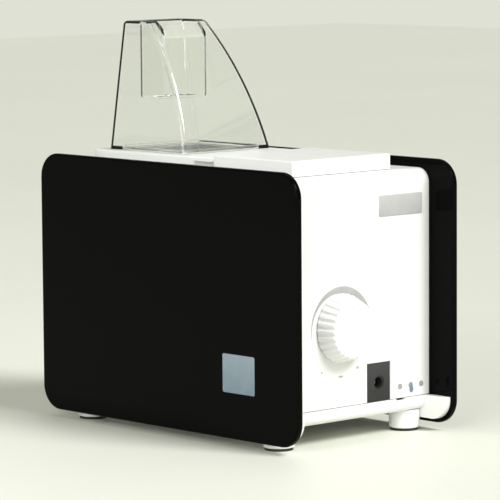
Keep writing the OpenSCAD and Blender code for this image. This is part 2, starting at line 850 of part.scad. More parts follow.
// One ring of points round the spring's wire at a given turn.
function spring_ring(turn, r, wire_r, z, sides) = [for (k = [0 : sides - 1])
    let (a = 360 * k / sides, q = r + wire_r * cos(a))
    [q * cos(360 * turn), q * sin(360 * turn), z + wire_r * sin(a)]];

module valve_spring() {
    turns = 5;
    steps = 16;
    sides = 6;
    wire_r = 0.4;
    z0 = 80.9;
    z1 = 88;
    n = turns * steps;
    points = [for (i = [0 : n]) each spring_ring(i / steps, 5, wire_r, z0 + (z1 - z0) * i / n, sides)];
    walls = [for (i = [0 : n - 1], k = [0 : sides - 1])
        let (a = i * sides + k, b = i * sides + (k + 1) % sides)
        [a, a + sides, b + sides, b]];
    foot = [[for (k = [0 : sides - 1]) k]];
    head = [[for (k = [sides - 1 : -1 : 0]) n * sides + k]];
    color("#c8ccd0") translate([0, well_y, 0])
        polyhedron(points = points, faces = concat(walls, foot, head));
}

// ---------- the nodes ----------

left_panel();
right_panel();
main_housing();
top_deck();
base_tray();
left_rail();
right_rail();
foot_front_left();
foot_front_right();
foot_rear_left();
foot_rear_right();
pad_front_left();
pad_front_right();
pad_rear_left();
pad_rear_right();
intake_grille();
bottle_well();
valve_pin();
feed_pipe();
water_basin();
transducer_disc();
transducer_seal();
transducer_ring();
transducer_screws();
float_post();
float_clip();
water_float();
air_duct();
fan_frame();
fan_rotor();
fan_shaft();
fan_screws();
circuit_board();
heat_sink();
power_transistor();
capacitors();
coils();
board_screws();
potentiometer();
pot_nut();
pot_shaft();
mist_knob();
jack_plate();
dc_jack();
jack_pin();
lamp_lenses();
lamps();
front_badge();
side_label();
wiring();
base_screws();
panel_screws();
mist_nozzle();
bottle_cover();
bottle_adapter();
adapter_seal();
valve_plunger();
valve_seal();
valve_spring();
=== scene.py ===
"""Looks of a cool mist humidifier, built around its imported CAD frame.

The outer pieces are remade here with moulded edges, and the inner parts keep their CAD shapes and take
detailed finishes. Lengths are metres in the frame's own axes: the front with the knob faces -Y, +Z is
up, and the origin lies on the table under the middle of the casing.
"""

import json
import logging
import math
from dataclasses import dataclass, field
from enum import Enum
from typing import Callable, Iterable, Sequence

import bmesh
import bpy
from mathutils import Matrix, Vector


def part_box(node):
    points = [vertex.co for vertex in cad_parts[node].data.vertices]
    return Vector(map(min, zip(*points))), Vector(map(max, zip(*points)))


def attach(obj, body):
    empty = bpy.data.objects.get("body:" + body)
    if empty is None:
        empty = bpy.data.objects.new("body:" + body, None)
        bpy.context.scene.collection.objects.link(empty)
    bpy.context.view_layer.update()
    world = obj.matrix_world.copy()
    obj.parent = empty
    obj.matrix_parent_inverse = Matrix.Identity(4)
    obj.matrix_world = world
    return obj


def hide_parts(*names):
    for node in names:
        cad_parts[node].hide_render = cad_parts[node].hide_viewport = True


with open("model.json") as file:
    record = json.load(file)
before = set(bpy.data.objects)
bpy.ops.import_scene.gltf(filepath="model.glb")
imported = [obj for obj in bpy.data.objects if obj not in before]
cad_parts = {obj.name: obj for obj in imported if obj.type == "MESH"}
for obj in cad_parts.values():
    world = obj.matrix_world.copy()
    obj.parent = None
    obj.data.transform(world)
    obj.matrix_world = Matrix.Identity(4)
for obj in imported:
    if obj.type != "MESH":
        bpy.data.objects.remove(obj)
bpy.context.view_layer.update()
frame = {"nodes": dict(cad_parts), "record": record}

LOG = logging.getLogger("humidifier")
MM = 0.001
TOUCH = 0.12 * MM             # how near a corner lies to the face that it belongs to
TURN = 2 * math.pi

Colour = tuple[float, float, float]
Ring = list[Vector]
Socket = bpy.types.NodeSocket


class Body(Enum):
    """The moving bodies of the frame."""

    CASING = "casing"
    KNOB = "knob"
    NOZZLE = "nozzle"
    COVER = "cover"
    CAP = "cap"
    VALVE = "valve"
    FLOAT = "float"
    FAN = "fan"


class Cut(Enum):
    """How one solid is combined with another."""

    TAKE_AWAY = "DIFFERENCE"
    JOIN = "UNION"


class Lay(Enum):
    """The direction that a metal's fine marks run in, as a stretch along X, Y and Z."""

    ALONG_Y = (1.0, 0.02, 1.0)
    NONE = (1.0, 1.0, 1.0)


# ---------- finishes ----------


class Shader:
    """Builds one procedural material, node by node, on object coordinates."""

    def __init__(self, name: str) -> None:
        """Starts a material.

        Args:
            name: The material's name.
        """
        self.material = bpy.data.materials.new(name)
        self.material.use_nodes = True
        self.nodes = self.material.node_tree.nodes
        self.links = self.material.node_tree.links
        self.surface = self.nodes["Principled BSDF"]
        self.place = self.nodes.new("ShaderNodeTexCoord").outputs["Object"]
        self.last_bump: Socket | None = None

    def put(self, **values: float | Colour) -> None:
        """Sets the shader's own sockets, named with _ for a space."""
        for name, value in values.items():
            socket = self.surface.inputs[name.replace("_", " ")]
            socket.default_value = (*value, 1.0) if isinstance(value, tuple) else value

    def feed(self, name: str, source: Socket) -> None:
        """Links a node's output to one of the shader's sockets."""
        self.links.new(source, self.surface.inputs[name])

    def stretched(self, stretch: Sequence[float]) -> Socket:
        """Returns object coordinates stretched by a factor along each axis."""
        node = self.nodes.new("ShaderNodeMapping")
        node.inputs["Scale"].default_value = stretch
        self.links.new(self.place, node.inputs["Vector"])
        return node.outputs["Vector"]

    def noise(self, size: float, detail: float = 2.0, place: Socket | None = None) -> Socket:
        """Returns soft noise from 0 to 1.

        Args:
            size: Width of one lump.
            detail: How many finer layers are added.
            place: Coordinates to read, or None for the object's own.
        """
        node = self.nodes.new("ShaderNodeTexNoise")
        node.inputs["Scale"].default_value = 1 / size
        node.inputs["Detail"].default_value = detail
        self.links.new(place or self.place, node.inputs["Vector"])
        return node.outputs[0]

    def cells(self, size: float, place: Socket | None = None) -> Socket:
        """Returns the distance to the nearest of scattered points, in cell widths."""
        node = self.nodes.new("ShaderNodeTexVoronoi")
        node.inputs["Scale"].default_value = 1 / size
        self.links.new(place or self.place, node.inputs["Vector"])
        return node.outputs["Distance"]

    def level(self, source: Socket, low: float, high: float, start: float = 0.0, end: float = 1.0) -> Socket:
        """Maps a value from start..end to low..high, and holds it there."""
        node = self.nodes.new("ShaderNodeMapRange")
        for name, value in (("From Min", start), ("From Max", end), ("To Min", low), ("To Max", high)):
            node.inputs[name].default_value = value
        self.links.new(source, node.inputs["Value"])
        return node.outputs["Result"]

    def mixed(self, share: Socket, first: Colour | Socket, second: Colour) -> Socket:
        """Returns a colour that goes from the first to the second with the share."""
        node = self.nodes.new("ShaderNodeMix")
        node.data_type = "RGBA"
        self.links.new(share, node.inputs[0])
        if isinstance(first, tuple):
            node.inputs[6].default_value = (*first, 1.0)
        else:
            self.links.new(first, node.inputs[6])
        node.inputs[7].default_value = (*second, 1.0)
        return node.outputs[2]

    def dent(self, height: Socket, depth: float) -> None:
        """Adds relief of that depth to the surface, on top of any relief that it has."""
        node = self.nodes.new("ShaderNodeBump")
        node.inputs["Strength"].default_value = 1.0
        node.inputs["Distance"].default_value = depth
        self.links.new(height, node.inputs["Height"])
        if self.last_bump:
            self.links.new(self.last_bump, node.inputs["Normal"])
        self.last_bump = node.outputs["Normal"]
        self.feed("Normal", self.last_bump)


def shaded(colour: Colour, factor: float) -> Colour:
    """Returns a colour made lighter or darker by a factor."""
    return tuple(min(1.0, part * factor) for part in colour)


@dataclass(frozen=True)
class Finish:
    """What every finish has: the record's material slot, which also names its material."""

    slot: str

    def material(self) -> bpy.types.Material:
        """Makes the finish's material; each kind of finish has its own way."""
        raise NotImplementedError


@dataclass(frozen=True)
class MouldedPlastic(Finish):
    """Injection-moulded plastic: spark-eroded grain, faint flow mottling and uneven gloss."""

    colour: Colour
    roughness: float = 0.38
    grain: float = 0.45 * MM
    grain_depth: float = 0.012 * MM
    mottle: float = 0.03
    flow: float = 26 * MM

    def material(self) -> bpy.types.Material:
        """Makes the plastic."""
        shader = Shader(self.slot)
        drift = shader.noise(self.flow, 3.0)
        shade = shader.mixed(drift, shaded(self.colour, 1 - self.mottle), shaded(self.colour, 1 + self.mottle))
        specks = shader.level(shader.cells(3.2 * MM), 1.0, 0.0, 0.0, 0.05)
        shader.feed("Base Color", shader.mixed(specks, shade, shaded(self.colour, 0.8)))
        patches = shader.noise(9 * MM, 4.0)
        shader.feed("Roughness", shader.level(patches, self.roughness - 0.06, self.roughness + 0.08, 0.3, 0.7))
        shader.dent(shader.noise(self.grain, 1.0), self.grain_depth)
        shader.dent(shader.noise(14 * MM, 1.0), 0.03 * MM)
        return shader.material


@dataclass(frozen=True)
class PianoGloss(Finish):
    """High-gloss black moulding with hairline wiping marks, haze and a little dust."""

    colour: Colour = (0.0015, 0.0015, 0.0015)
    roughness: float = 0.045
    dust: Colour = (0.035, 0.035, 0.035)

    def material(self) -> bpy.types.Material:
        """Makes the gloss black."""
        shader = Shader(self.slot)
        shader.put(IOR=1.49, Specular_IOR_Level=0.04)
        motes = shader.level(shader.cells(4.5 * MM), 1.0, 0.0, 0.006, 0.035)
        shader.feed("Base Color", shader.mixed(motes, self.colour, self.dust))
        wiped = shader.stretched((1.0, 0.05, 1.0))
        hairs = shader.level(shader.noise(0.7 * MM, 2.0, wiped), 0.0, 1.0, 0.55, 0.75)
        haze = shader.noise(38 * MM, 5.0)
        gloss = shader.nodes.new("ShaderNodeMath")
        gloss.operation = "MULTIPLY_ADD"
        shader.links.new(hairs, gloss.inputs[0])
        gloss.inputs[1].default_value = 0.03
        haze_level = shader.level(haze, self.roughness, self.roughness + 0.06, 0.35, 0.75)
        shader.links.new(haze_level, gloss.inputs[2])
        shader.feed("Roughness", gloss.outputs[0])
        shader.dent(shader.noise(30 * MM, 1.0), 0.015 * MM)
        return shader.material


@dataclass(frozen=True)
class ClearPlastic(Finish):
    """Water-clear moulding with a breath of grey-olive in its thickness and slight flow ripples."""

    colour: Colour = (0.982, 0.988, 0.978)
    roughness: float = 0.012
    ior: float = 1.49

    def material(self) -> bpy.types.Material:
        """Makes the clear plastic."""
        shader = Shader(self.slot)
        shader.put(IOR=self.ior, Transmission_Weight=1.0)
        tint = shader.mixed(shader.noise(20 * MM, 1.0), self.colour, shaded(self.colour, 1.01))
        shader.feed("Base Color", tint)
        smears = shader.noise(6 * MM, 4.0)
        shader.feed("Roughness", shader.level(smears, self.roughness, self.roughness + 0.03, 0.45, 0.8))
        shader.dent(shader.noise(11 * MM, 1.0), 0.02 * MM)
        return shader.material


@dataclass(frozen=True)
class Rubber(Finish):
    """Matt black rubber with a fine matt grain and a bloom of dust."""

    colour: Colour = (0.022, 0.022, 0.022)

    def material(self) -> bpy.types.Material:
        """Makes the rubber."""
        shader = Shader(self.slot)
        bloom = shader.level(shader.noise(5 * MM, 5.0), 0.0, 0.6, 0.45, 0.8)
        shader.feed("Base Color", shader.mixed(bloom, self.colour, (0.06, 0.058, 0.055)))
        shader.feed("Roughness", shader.level(shader.noise(2 * MM), 0.72, 0.92))
        shader.dent(shader.noise(0.3 * MM, 2.0), 0.03 * MM)
        return shader.material


@dataclass(frozen=True)
class Metal(Finish):
    """Bare metal with fine marks along its lay, and duller patches."""

    colour: Colour
    roughness: float = 0.3
    lay: Lay = Lay.NONE

    def material(self) -> bpy.types.Material:
        """Makes the metal."""
        shader = Shader(self.slot)
        shader.put(Metallic=1.0)
        marks = shader.noise(0.25 * MM, 2.0, shader.stretched(self.lay.value))
        patina = shader.noise(4 * MM, 4.0)
        shader.feed("Base Color", shader.mixed(patina, shaded(self.colour, 0.82), shaded(self.colour, 1.08)))
        shader.feed("Roughness", shader.level(marks, self.roughness - 0.08, self.roughness + 0.14, 0.3, 0.7))
        shader.dent(marks, 0.006 * MM)
        return shader.material


@dataclass(frozen=True)
class CircuitBoard(Finish):
    """Green solder mask over copper tracks, with tinned pads."""

    mask: Colour = (0.012, 0.11, 0.045)
    track: Colour = (0.03, 0.2, 0.08)
    tin: Colour = (0.62, 0.62, 0.6)

    def material(self) -> bpy.types.Material:
        """Makes the board."""
        shader = Shader(self.slot)
        lanes = shader.nodes.new("ShaderNodeTexBrick")
        lanes.inputs["Scale"].default_value = 1 / (9 * MM)
        lanes.inputs["Mortar Size"].default_value = 0.055
        lanes.inputs["Mortar Smooth"].default_value = 0.1
        for name, value in (("Color1", self.mask), ("Color2", shaded(self.mask, 1.2)), ("Mortar", self.track)):
            lanes.inputs[name].default_value = (*value, 1.0)
        shader.links.new(shader.place, lanes.inputs["Vector"])
        pads = shader.level(shader.cells(3.4 * MM), 1.0, 0.0, 0.12, 0.16)
        shader.feed("Base Color", shader.mixed(pads, lanes.outputs["Color"], self.tin))
        shader.feed("Metallic", shader.level(pads, 0.0, 0.9))
        shader.feed("Roughness", shader.level(shader.noise(1.5 * MM), 0.24, 0.42))
        shader.dent(lanes.outputs["Fac"], 0.03 * MM)
        return shader.material


@dataclass(frozen=True)
class Coating(Finish):
    """A smooth skin over something else: enamel, sleeve, ink, ceramic or epoxy."""

    colour: Colour
    accent: Colour
    roughness: float = 0.3
    grain: float = 0.8 * MM
    relief: float = 0.008 * MM

    def material(self) -> bpy.types.Material:
        """Makes the coating."""
        shader = Shader(self.slot)
        cloud = shader.level(shader.noise(self.grain * 6, 4.0), 0.0, 1.0, 0.3, 0.75)
        shader.feed("Base Color", shader.mixed(cloud, self.colour, self.accent))
        fine = shader.noise(self.grain, 3.0)
        shader.feed("Roughness", shader.level(fine, self.roughness - 0.05, self.roughness + 0.1, 0.3, 0.7))
        shader.dent(fine, self.relief)
        return shader.material


@dataclass(frozen=True)
class PaintedShadeRamp(Finish):
    """Plastic with painted shade: darker at its lower edge and lighter at its upper edge, with soft blotches.
    """

    low_colour: Colour
    high_colour: Colour
    low: float
    high: float
    roughness: float = 0.32

    def material(self) -> bpy.types.Material:
        """Makes the plastic, with its painted shade from bottom to top."""
        shader = Shader(self.slot)
        split = shader.nodes.new("ShaderNodeSeparateXYZ")
        shader.links.new(shader.place, split.inputs[0])
        # painted shade: the tone runs from the darker low colour at the bottom to the lighter high colour at
        # the top
        rise = shader.level(split.outputs["Z"], 0.0, 1.0, self.low, self.high)
        tone = shader.mixed(rise, self.low_colour, self.high_colour)
        blotch = shader.level(shader.noise(7 * MM, 3.0), 0.0, 0.35, 0.4, 0.8)
        shader.feed("Base Color", shader.mixed(blotch, tone, shaded(self.high_colour, 1.12)))
        shader.feed("Roughness", shader.level(shader.noise(2 * MM), self.roughness, self.roughness + 0.12))
        shader.dent(shader.noise(0.5 * MM), 0.008 * MM)
        return shader.material


@dataclass(frozen=True)
class Lens(Finish):
    """Translucent moulding that lets a little light through."""

    colour: Colour
    through: float = 0.6
    glow: float = 0.0

    def material(self) -> bpy.types.Material:
        """Makes the lens."""
        shader = Shader(self.slot)
        shader.put(Transmission_Weight=self.through, IOR=1.5, Emission_Strength=self.glow)
        shader.put(Emission_Color=self.colour)
        milk = shader.noise(1.2 * MM, 3.0)
        shader.feed("Base Color", shader.mixed(milk, self.colour, shaded(self.colour, 0.85)))
        shader.feed("Roughness", shader.level(milk, 0.16, 0.3))
        return shader.material


class Palette:
    """All the finishes of the humidifier, one for each of the record's material slots."""

    def __init__(self) -> None:
        """Lists the finishes and makes their materials."""
        label_low, label_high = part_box("side_label")
        plate_low, plate_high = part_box("jack_plate")
        badge_low, badge_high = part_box("front_badge")
        finishes: list[Finish] = [
            MouldedPlastic("white", (0.84, 0.845, 0.83), 0.34),
            MouldedPlastic("white_inner", (0.78, 0.78, 0.74), 0.42, mottle=0.04),
            PianoGloss("black_gloss"),
            ClearPlastic("clear"),
            Rubber("rubber"),
            # the socket plate carries painted shade, darker at the bottom and lighter at the top
            PaintedShadeRamp("dark_plastic", (0.009, 0.009, 0.009), (0.04, 0.04, 0.042), plate_low.z, plate_high.z),
            MouldedPlastic("fan_black", (0.02, 0.02, 0.021), 0.4),
            Metal("steel", (0.62, 0.63, 0.65), 0.28),
            Metal("brass", (0.78, 0.6, 0.28), 0.26, Lay.ALONG_Y),
            Coating("ceramic_disc", (0.72, 0.56, 0.3), (0.8, 0.68, 0.45), 0.22),
            Metal("aluminium", (0.74, 0.75, 0.77), 0.36, Lay.ALONG_Y),
            CircuitBoard("board"),
            Coating("capacitor_sleeve", (0.03, 0.07, 0.16), (0.05, 0.1, 0.2), 0.26),
            Metal("copper", (0.72, 0.36, 0.2), 0.34),
            Coating("black_epoxy", (0.012, 0.012, 0.013), (0.025, 0.025, 0.026), 0.45),
            Metal("pot_metal", (0.5, 0.51, 0.52), 0.4),
            # the label and the badge carry painted shade, darker at the bottom and lighter at the top
            PaintedShadeRamp("label", (0.16, 0.22, 0.275), (0.25, 0.315, 0.365), label_low.z, label_high.z),
            PaintedShadeRamp("badge", (0.4, 0.4, 0.395), (0.5, 0.5, 0.49), badge_low.z, badge_high.z),
            Lens("lens", (0.84, 0.86, 0.86)),
            Lens("lamp", (0.45, 0.75, 0.95), 0.3),
            Coating("wire", (0.42, 0.04, 0.03), (0.5, 0.06, 0.04), 0.36),
            MouldedPlastic("cap_blue", (0.055, 0.17, 0.36), 0.34),
            MouldedPlastic("float_white", (0.86, 0.86, 0.85), 0.5),
        ]
        self.materials = {finish.slot: finish.material() for finish in finishes}

    def __getitem__(self, slot: str) -> bpy.types.Material:
        """Returns the material of a slot."""
        return self.materials[slot]


# ---------- mesh tools ----------


@dataclass(frozen=True)
class RoundRect:
    """A flat outline with four round corners, in two axes called u and v."""

    low: tuple[float, float]
    high: tuple[float, float]
    radius: float

    def distance(self, u: float, v: float) -> float:
        """Returns how far a point lies outside the outline; inside it is negative."""
        du = abs(u - (self.low[0] + self.high[0]) / 2) - (self.high[0] - self.low[0]) / 2 + self.radius
        dv = abs(v - (self.low[1] + self.high[1]) / 2) - (self.high[1] - self.low[1]) / 2 + self.radius
        return math.hypot(max(du, 0), max(dv, 0)) + min(max(du, dv), 0) - self.radius

    def points(self, steps: int) -> list[tuple[float, float]]:
        """Returns points round the outline, with so many steps in each corner."""
        radius = self.radius
        left, right = self.low[0] + radius, self.high[0] - radius
        foot, top = self.low[1] + radius, self.high[1] - radius
        centres = ((right, top), (left, top), (left, foot), (right, foot))
        made = []
        for corner, (u, v) in enumerate(centres):
            for step in range(steps + 1):
                angle = (corner + step / steps) * TURN / 4
                made.append((u + radius * math.cos(angle), v + radius * math.sin(angle)))
        return made


def loft(rings: Sequence[Ring]) -> bmesh.types.BMesh:
    """Joins rings of equal length into one closed solid.

    Args:
        rings: The rings in order, each with its points in order.

    Returns:
        The solid, with its two ends capped and its faces outward.
    """
    mesh = bmesh.new()
    rows = [[mesh.verts.new(point) for point in ring] for ring in rings]
    count = len(rows[0])
    for row, following in zip(rows, rows[1:]):
        for i in range(count):
            j = (i + 1) % count
            mesh.faces.new((row[i], row[j], following[j], following[i]))
    mesh.faces.new(rows[0][::-1])
    mesh.faces.new(rows[-1])
    bmesh.ops.recalc_face_normals(mesh, faces=mesh.faces)
    return mesh


def block(low: Vector, high: Vector) -> bmesh.types.BMesh:
    """Returns a box between two corners, for cutting."""
    plan = [(low.x, low.y), (high.x, low.y), (high.x, high.y), (low.x, high.y)]
    return loft([[Vector((x, y, z)) for x, y in plan] for z in (low.z, high.z)])


def column(outline: RoundRect, low: float, high: float, steps: int = 8) -> bmesh.types.BMesh:
    """Returns an upright solid with that outline in plan, from low to high."""
    return loft([[Vector((x, y, z)) for x, y in outline.points(steps)] for z in (low, high)])


def to_mesh(solid: bmesh.types.BMesh, name: str) -> bpy.types.Mesh:
    """Turns a bmesh into a mesh, and frees the bmesh."""
    mesh = bpy.data.meshes.new(name)
    solid.to_mesh(mesh)
    solid.free()
    return mesh


def with_object(mesh: bpy.types.Mesh, name: str = "work") -> bpy.types.Object:
    """Puts a mesh in an object in the scene."""
    holder = bpy.data.objects.new(name, mesh)
    bpy.context.scene.collection.objects.link(holder)
    return holder


def evaluated(holder: bpy.types.Object) -> bpy.types.Mesh:
    """Returns the object's mesh with its modifiers done, and removes the object."""
    graph = bpy.context.evaluated_depsgraph_get()
    made = bpy.data.meshes.new_from_object(
        holder.evaluated_get(graph), preserve_all_data_layers=True, depsgraph=graph)
    bpy.data.objects.remove(holder)
    return made


def combined(first: bpy.types.Mesh, second: bpy.types.Mesh, how: Cut) -> bpy.types.Mesh:
    """Cuts the second solid from the first, or joins it to it.

    Args:
        first: The solid that is kept.
        second: The solid that cuts it or is joined to it.
        how: Which of the two.

    Returns:
        The new solid.
    """
    holder, tool = with_object(first), with_object(second, "tool")
    modifier = holder.modifiers.new("cut", "BOOLEAN")
    modifier.object, modifier.operation, modifier.solver = tool, how.value, "EXACT"
    made = evaluated(holder)
    bpy.data.objects.remove(tool)
    return made


def smoothed(mesh: bpy.types.Mesh, sharp_angle: float = 32.0) -> bpy.types.Mesh:
    """Shades a mesh smooth, with its big flat faces kept flat and edges over the angle kept sharp."""
    mesh.shade_smooth()
    mesh.set_sharp_from_angle(angle=math.radians(sharp_angle))
    holder = with_object(mesh)
    modifier = holder.modifiers.new("flat faces", "WEIGHTED_NORMAL")
    modifier.keep_sharp = True
    modifier.weight = 100
    return evaluated(holder)


def cad_solid(node: str) -> bmesh.types.BMesh:
    """Returns a CAD node's solid with its loose triangles joined and its flat faces whole."""
    solid = bmesh.new()
    solid.from_mesh(frame["nodes"][node].data)
    bmesh.ops.remove_doubles(solid, verts=solid.verts, dist=0.002 * MM)
    bmesh.ops.dissolve_limit(solid, angle_limit=math.radians(0.4), verts=solid.verts, edges=solid.edges)
    return solid


def soften(solid: bmesh.types.BMesh, radius: float, chosen: Callable[[Vector], bool],
           segments: int = 3) -> None:
    """Rounds the outward edges whose two ends are chosen.

    Args:
        solid: The solid to change.
        radius: Radius of the new edges.
        chosen: Says whether a corner is on the edges to round.
        segments: Number of faces across the round.
    """
    least = math.radians(35)
    edges = [edge for edge in solid.edges
             if edge.is_manifold and edge.calc_face_angle_signed() > least
             and all(chosen(vert.co) for vert in edge.verts)]
    bmesh.ops.bevel(solid, geom=edges, offset=radius, offset_type="OFFSET", segments=segments, profile=0.5,
                    affect="EDGES", clamp_overlap=False, material=-1)


def add(name: str, mesh: bpy.types.Mesh, palette: Palette, slot: str, body: Body,
        *stands_for: str) -> bpy.types.Object:
    """Adds one finished piece to the object.

    Args:
        name: The piece's name.
        mesh: Its mesh, already in place.
        palette: The finishes.
        slot: The record's material slot that it takes its finish from.
        body: The body that it moves with.
        stands_for: CAD nodes that it is shown instead of.

    Returns:
        The piece's object.
    """
    mesh.name = name
    mesh.materials.clear()
    mesh.materials.append(palette[slot])
    mesh.polygons.foreach_set("material_index", [0] * len(mesh.polygons))
    piece = with_object(mesh, name)
    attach(piece, body.value)
    if stands_for:
        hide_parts(*stands_for)
    LOG.info("%s: %d faces, %s, on %s", name, len(mesh.polygons), slot, body.value)
    return piece


# ---------- geometry node recipes ----------


class Recipe:
    """Builds one geometry node tree with named inputs, ending in Realize Instances and Set Material."""

    def __init__(self, name: str) -> None:
        """Starts a tree with a Geometry and a Material input.

        Args:
            name: The tree's name.
        """
        self.tree = bpy.data.node_groups.new(name, "GeometryNodeTree")
        self.keys: dict[str, str] = {}
        self.start = self.tree.nodes.new("NodeGroupInput")
        self.source = self.input("Geometry", "NodeSocketGeometry")
        self.material = self.input("Material", "NodeSocketMaterial")

    def input(self, name: str, kind: str = "NodeSocketFloat") -> Socket:
        """Adds a named input and returns its socket inside the tree."""
        item = self.tree.interface.new_socket(name, in_out="INPUT", socket_type=kind)
        self.keys[name] = item.identifier
        return self.start.outputs[item.identifier]

    def node(self, kind: str, values: dict[str | int, object] | None = None,
             **settings: object) -> bpy.types.Node:
        """Adds a node.

        Args:
            kind: The node's type, without its GeometryNode or ShaderNode prefix where that is plain.
            values: What goes into its inputs, by name or number: sockets are linked, the rest is set.
            settings: The node's own settings.

        Returns:
            The node.
        """
        made = self.tree.nodes.new(kind)
        for name, value in settings.items():
            setattr(made, name, value)
        for key, value in (values or {}).items():
            if isinstance(value, Socket):
                self.tree.links.new(value, made.inputs[key])
            else:
                made.inputs[key].default_value = value
        return made

    def math(self, operation: str, *values: Socket | float) -> Socket:
        """Returns the result of one Math node."""
        made = self.node("ShaderNodeMath", dict(enumerate(values)), operation=operation)
        return made.outputs[0]

    def finish(self, geometry: Socket) -> "Recipe":
        """Ends the tree with Realize Instances and Set Material."""
        self.tree.interface.new_socket("Geometry", in_out="OUTPUT", socket_type="NodeSocketGeometry")
        real = self.node("GeometryNodeRealizeInstances", {"Geometry": geometry})
        dressed = self.node("GeometryNodeSetMaterial",
                            {"Geometry": real.outputs[0], "Material": self.material})
        end = self.tree.nodes.new("NodeGroupOutput")
        self.tree.links.new(dressed.outputs[0], end.inputs[0])
        return self

    def grow(self, source: bpy.types.Mesh | None = None, **values: object) -> bpy.types.Mesh:
        """Runs the tree once and returns its mesh.

        Args:
            source: The mesh that goes into the tree's Geometry input, if it has one.
            values: The tree's inputs, named with _ for a space.

        Returns:
            The finished mesh.
        """
        holder = with_object(source or bpy.data.meshes.new("empty"))
        modifier = holder.modifiers.new("build", "NODES")
        modifier.node_group = self.tree
        for name, value in values.items():
            modifier[self.keys[name.replace("_", " ")]] = value
        return evaluated(holder)


def turning_recipe() -> Recipe:
    """Returns a tree that turns a profile round an axis along -Y and cuts grip flutes into it.

    The source mesh holds the profile's points as radius, grip share and height. Its inputs are the
    number of flutes, the flute cutter's radius, how far the cutter's centre stands off the surface,
    the steps in a turn, and the centre of the foot.
    """
    recipe = Recipe("turned part")
    source = recipe.source
    flutes = recipe.input("Flutes")
    cutter = recipe.input("Cutter radius")
    stand_off = recipe.input("Stand off")
    steps = recipe.input("Steps", "NodeSocketInt")
    centre = recipe.input("Centre", "NodeSocketVector")

    size = recipe.node("GeometryNodeAttributeDomainSize", {"Geometry": source}).outputs["Point Count"]
    around = recipe.math("ADD", steps, 1.0)
    grid = recipe.node("GeometryNodeMeshGrid", {"Vertices X": around, "Vertices Y": size})
    index = recipe.node("GeometryNodeInputIndex").outputs[0]
    ring = recipe.math("FLOOR", recipe.math("DIVIDE", recipe.math("ADD", index, 0.5), size))
    along = recipe.math("SUBTRACT", index, recipe.math("MULTIPLY", ring, size))
    angle = recipe.math("MULTIPLY", recipe.math("DIVIDE", ring, steps), TURN)

    place = recipe.node("GeometryNodeInputPosition").outputs[0]
    sample = recipe.node("GeometryNodeSampleIndex", {"Geometry": source, "Value": place, "Index": along},
                         data_type="FLOAT_VECTOR")
    profile = recipe.node("ShaderNodeSeparateXYZ", {0: sample.outputs[0]})
    radius, grip, height = profile.outputs[0], profile.outputs[1], profile.outputs[2]

    pitch = recipe.math("DIVIDE", TURN, flutes)
    offset = recipe.math("SUBTRACT", recipe.math("FLOORED_MODULO", angle, pitch),
                         recipe.math("MULTIPLY", pitch, 0.5))
    aside = recipe.math("MULTIPLY", offset, radius)
    deep = recipe.math("SQRT", recipe.math("MAXIMUM", recipe.math(
        "SUBTRACT", recipe.math("POWER", cutter, 2.0), recipe.math("POWER", aside, 2.0)), 0.0))
    groove = recipe.math("MAXIMUM", recipe.math("SUBTRACT", deep, stand_off), 0.0)
    cut_radius = recipe.math("SUBTRACT", radius, recipe.math("MULTIPLY", groove, grip))

    spot = recipe.node("ShaderNodeCombineXYZ", {
        0: recipe.math("MULTIPLY", cut_radius, recipe.math("COSINE", angle)),
        1: recipe.math("MULTIPLY", height, -1.0),
        2: recipe.math("MULTIPLY", cut_radius, recipe.math("SINE", angle))}).outputs[0]
    moved = recipe.node("ShaderNodeVectorMath", {0: spot, 1: centre}, operation="ADD").outputs[0]
    shaped = recipe.node("GeometryNodeSetPosition", {"Geometry": grid.outputs[0], "Position": moved})
    closed = recipe.node("GeometryNodeMergeByDistance",
                         {"Geometry": shaped.outputs[0], "Distance": 0.002 * MM})
    return recipe.finish(closed.outputs[0])


def row_recipe() -> Recipe:
    """Returns a tree that repeats a part in a straight row.

    Its inputs are the part (Geometry), the count and the step from one to the next.
    """
    recipe = Recipe("row of parts")
    count = recipe.input("Count", "NodeSocketInt")
    step = recipe.input("Step", "NodeSocketVector")
    line = recipe.node("GeometryNodeMeshLine", {"Count": count, "Offset": step})
    copies = recipe.node("GeometryNodeInstanceOnPoints",
                         {"Points": line.outputs[0], "Instance": recipe.source})
    return recipe.finish(copies.outputs[0])


def fastener_recipe() -> Recipe:
    """Returns a tree that sets a screw at each point of the source, all turned the same way.

    Its inputs are the points (Geometry), the screw (Part) and the turn.
    """
    recipe = Recipe("set of screws")
    part = recipe.input("Part", "NodeSocketObject")
    turn = recipe.input("Turn", "NodeSocketVector")
    screw = recipe.node("GeometryNodeObjectInfo", {"Object": part})
    copies = recipe.node("GeometryNodeInstanceOnPoints",
                         {"Points": recipe.source, "Instance": screw.outputs["Geometry"], "Rotation": turn})
    return recipe.finish(copies.outputs[0])


def points_mesh(points: Iterable[Sequence[float]]) -> bpy.types.Mesh:
    """Returns a mesh of loose points."""
    mesh = bpy.data.meshes.new("points")
    mesh.from_pydata([tuple(point) for point in points], [], [])
    return mesh


# ---------- the humidifier ----------


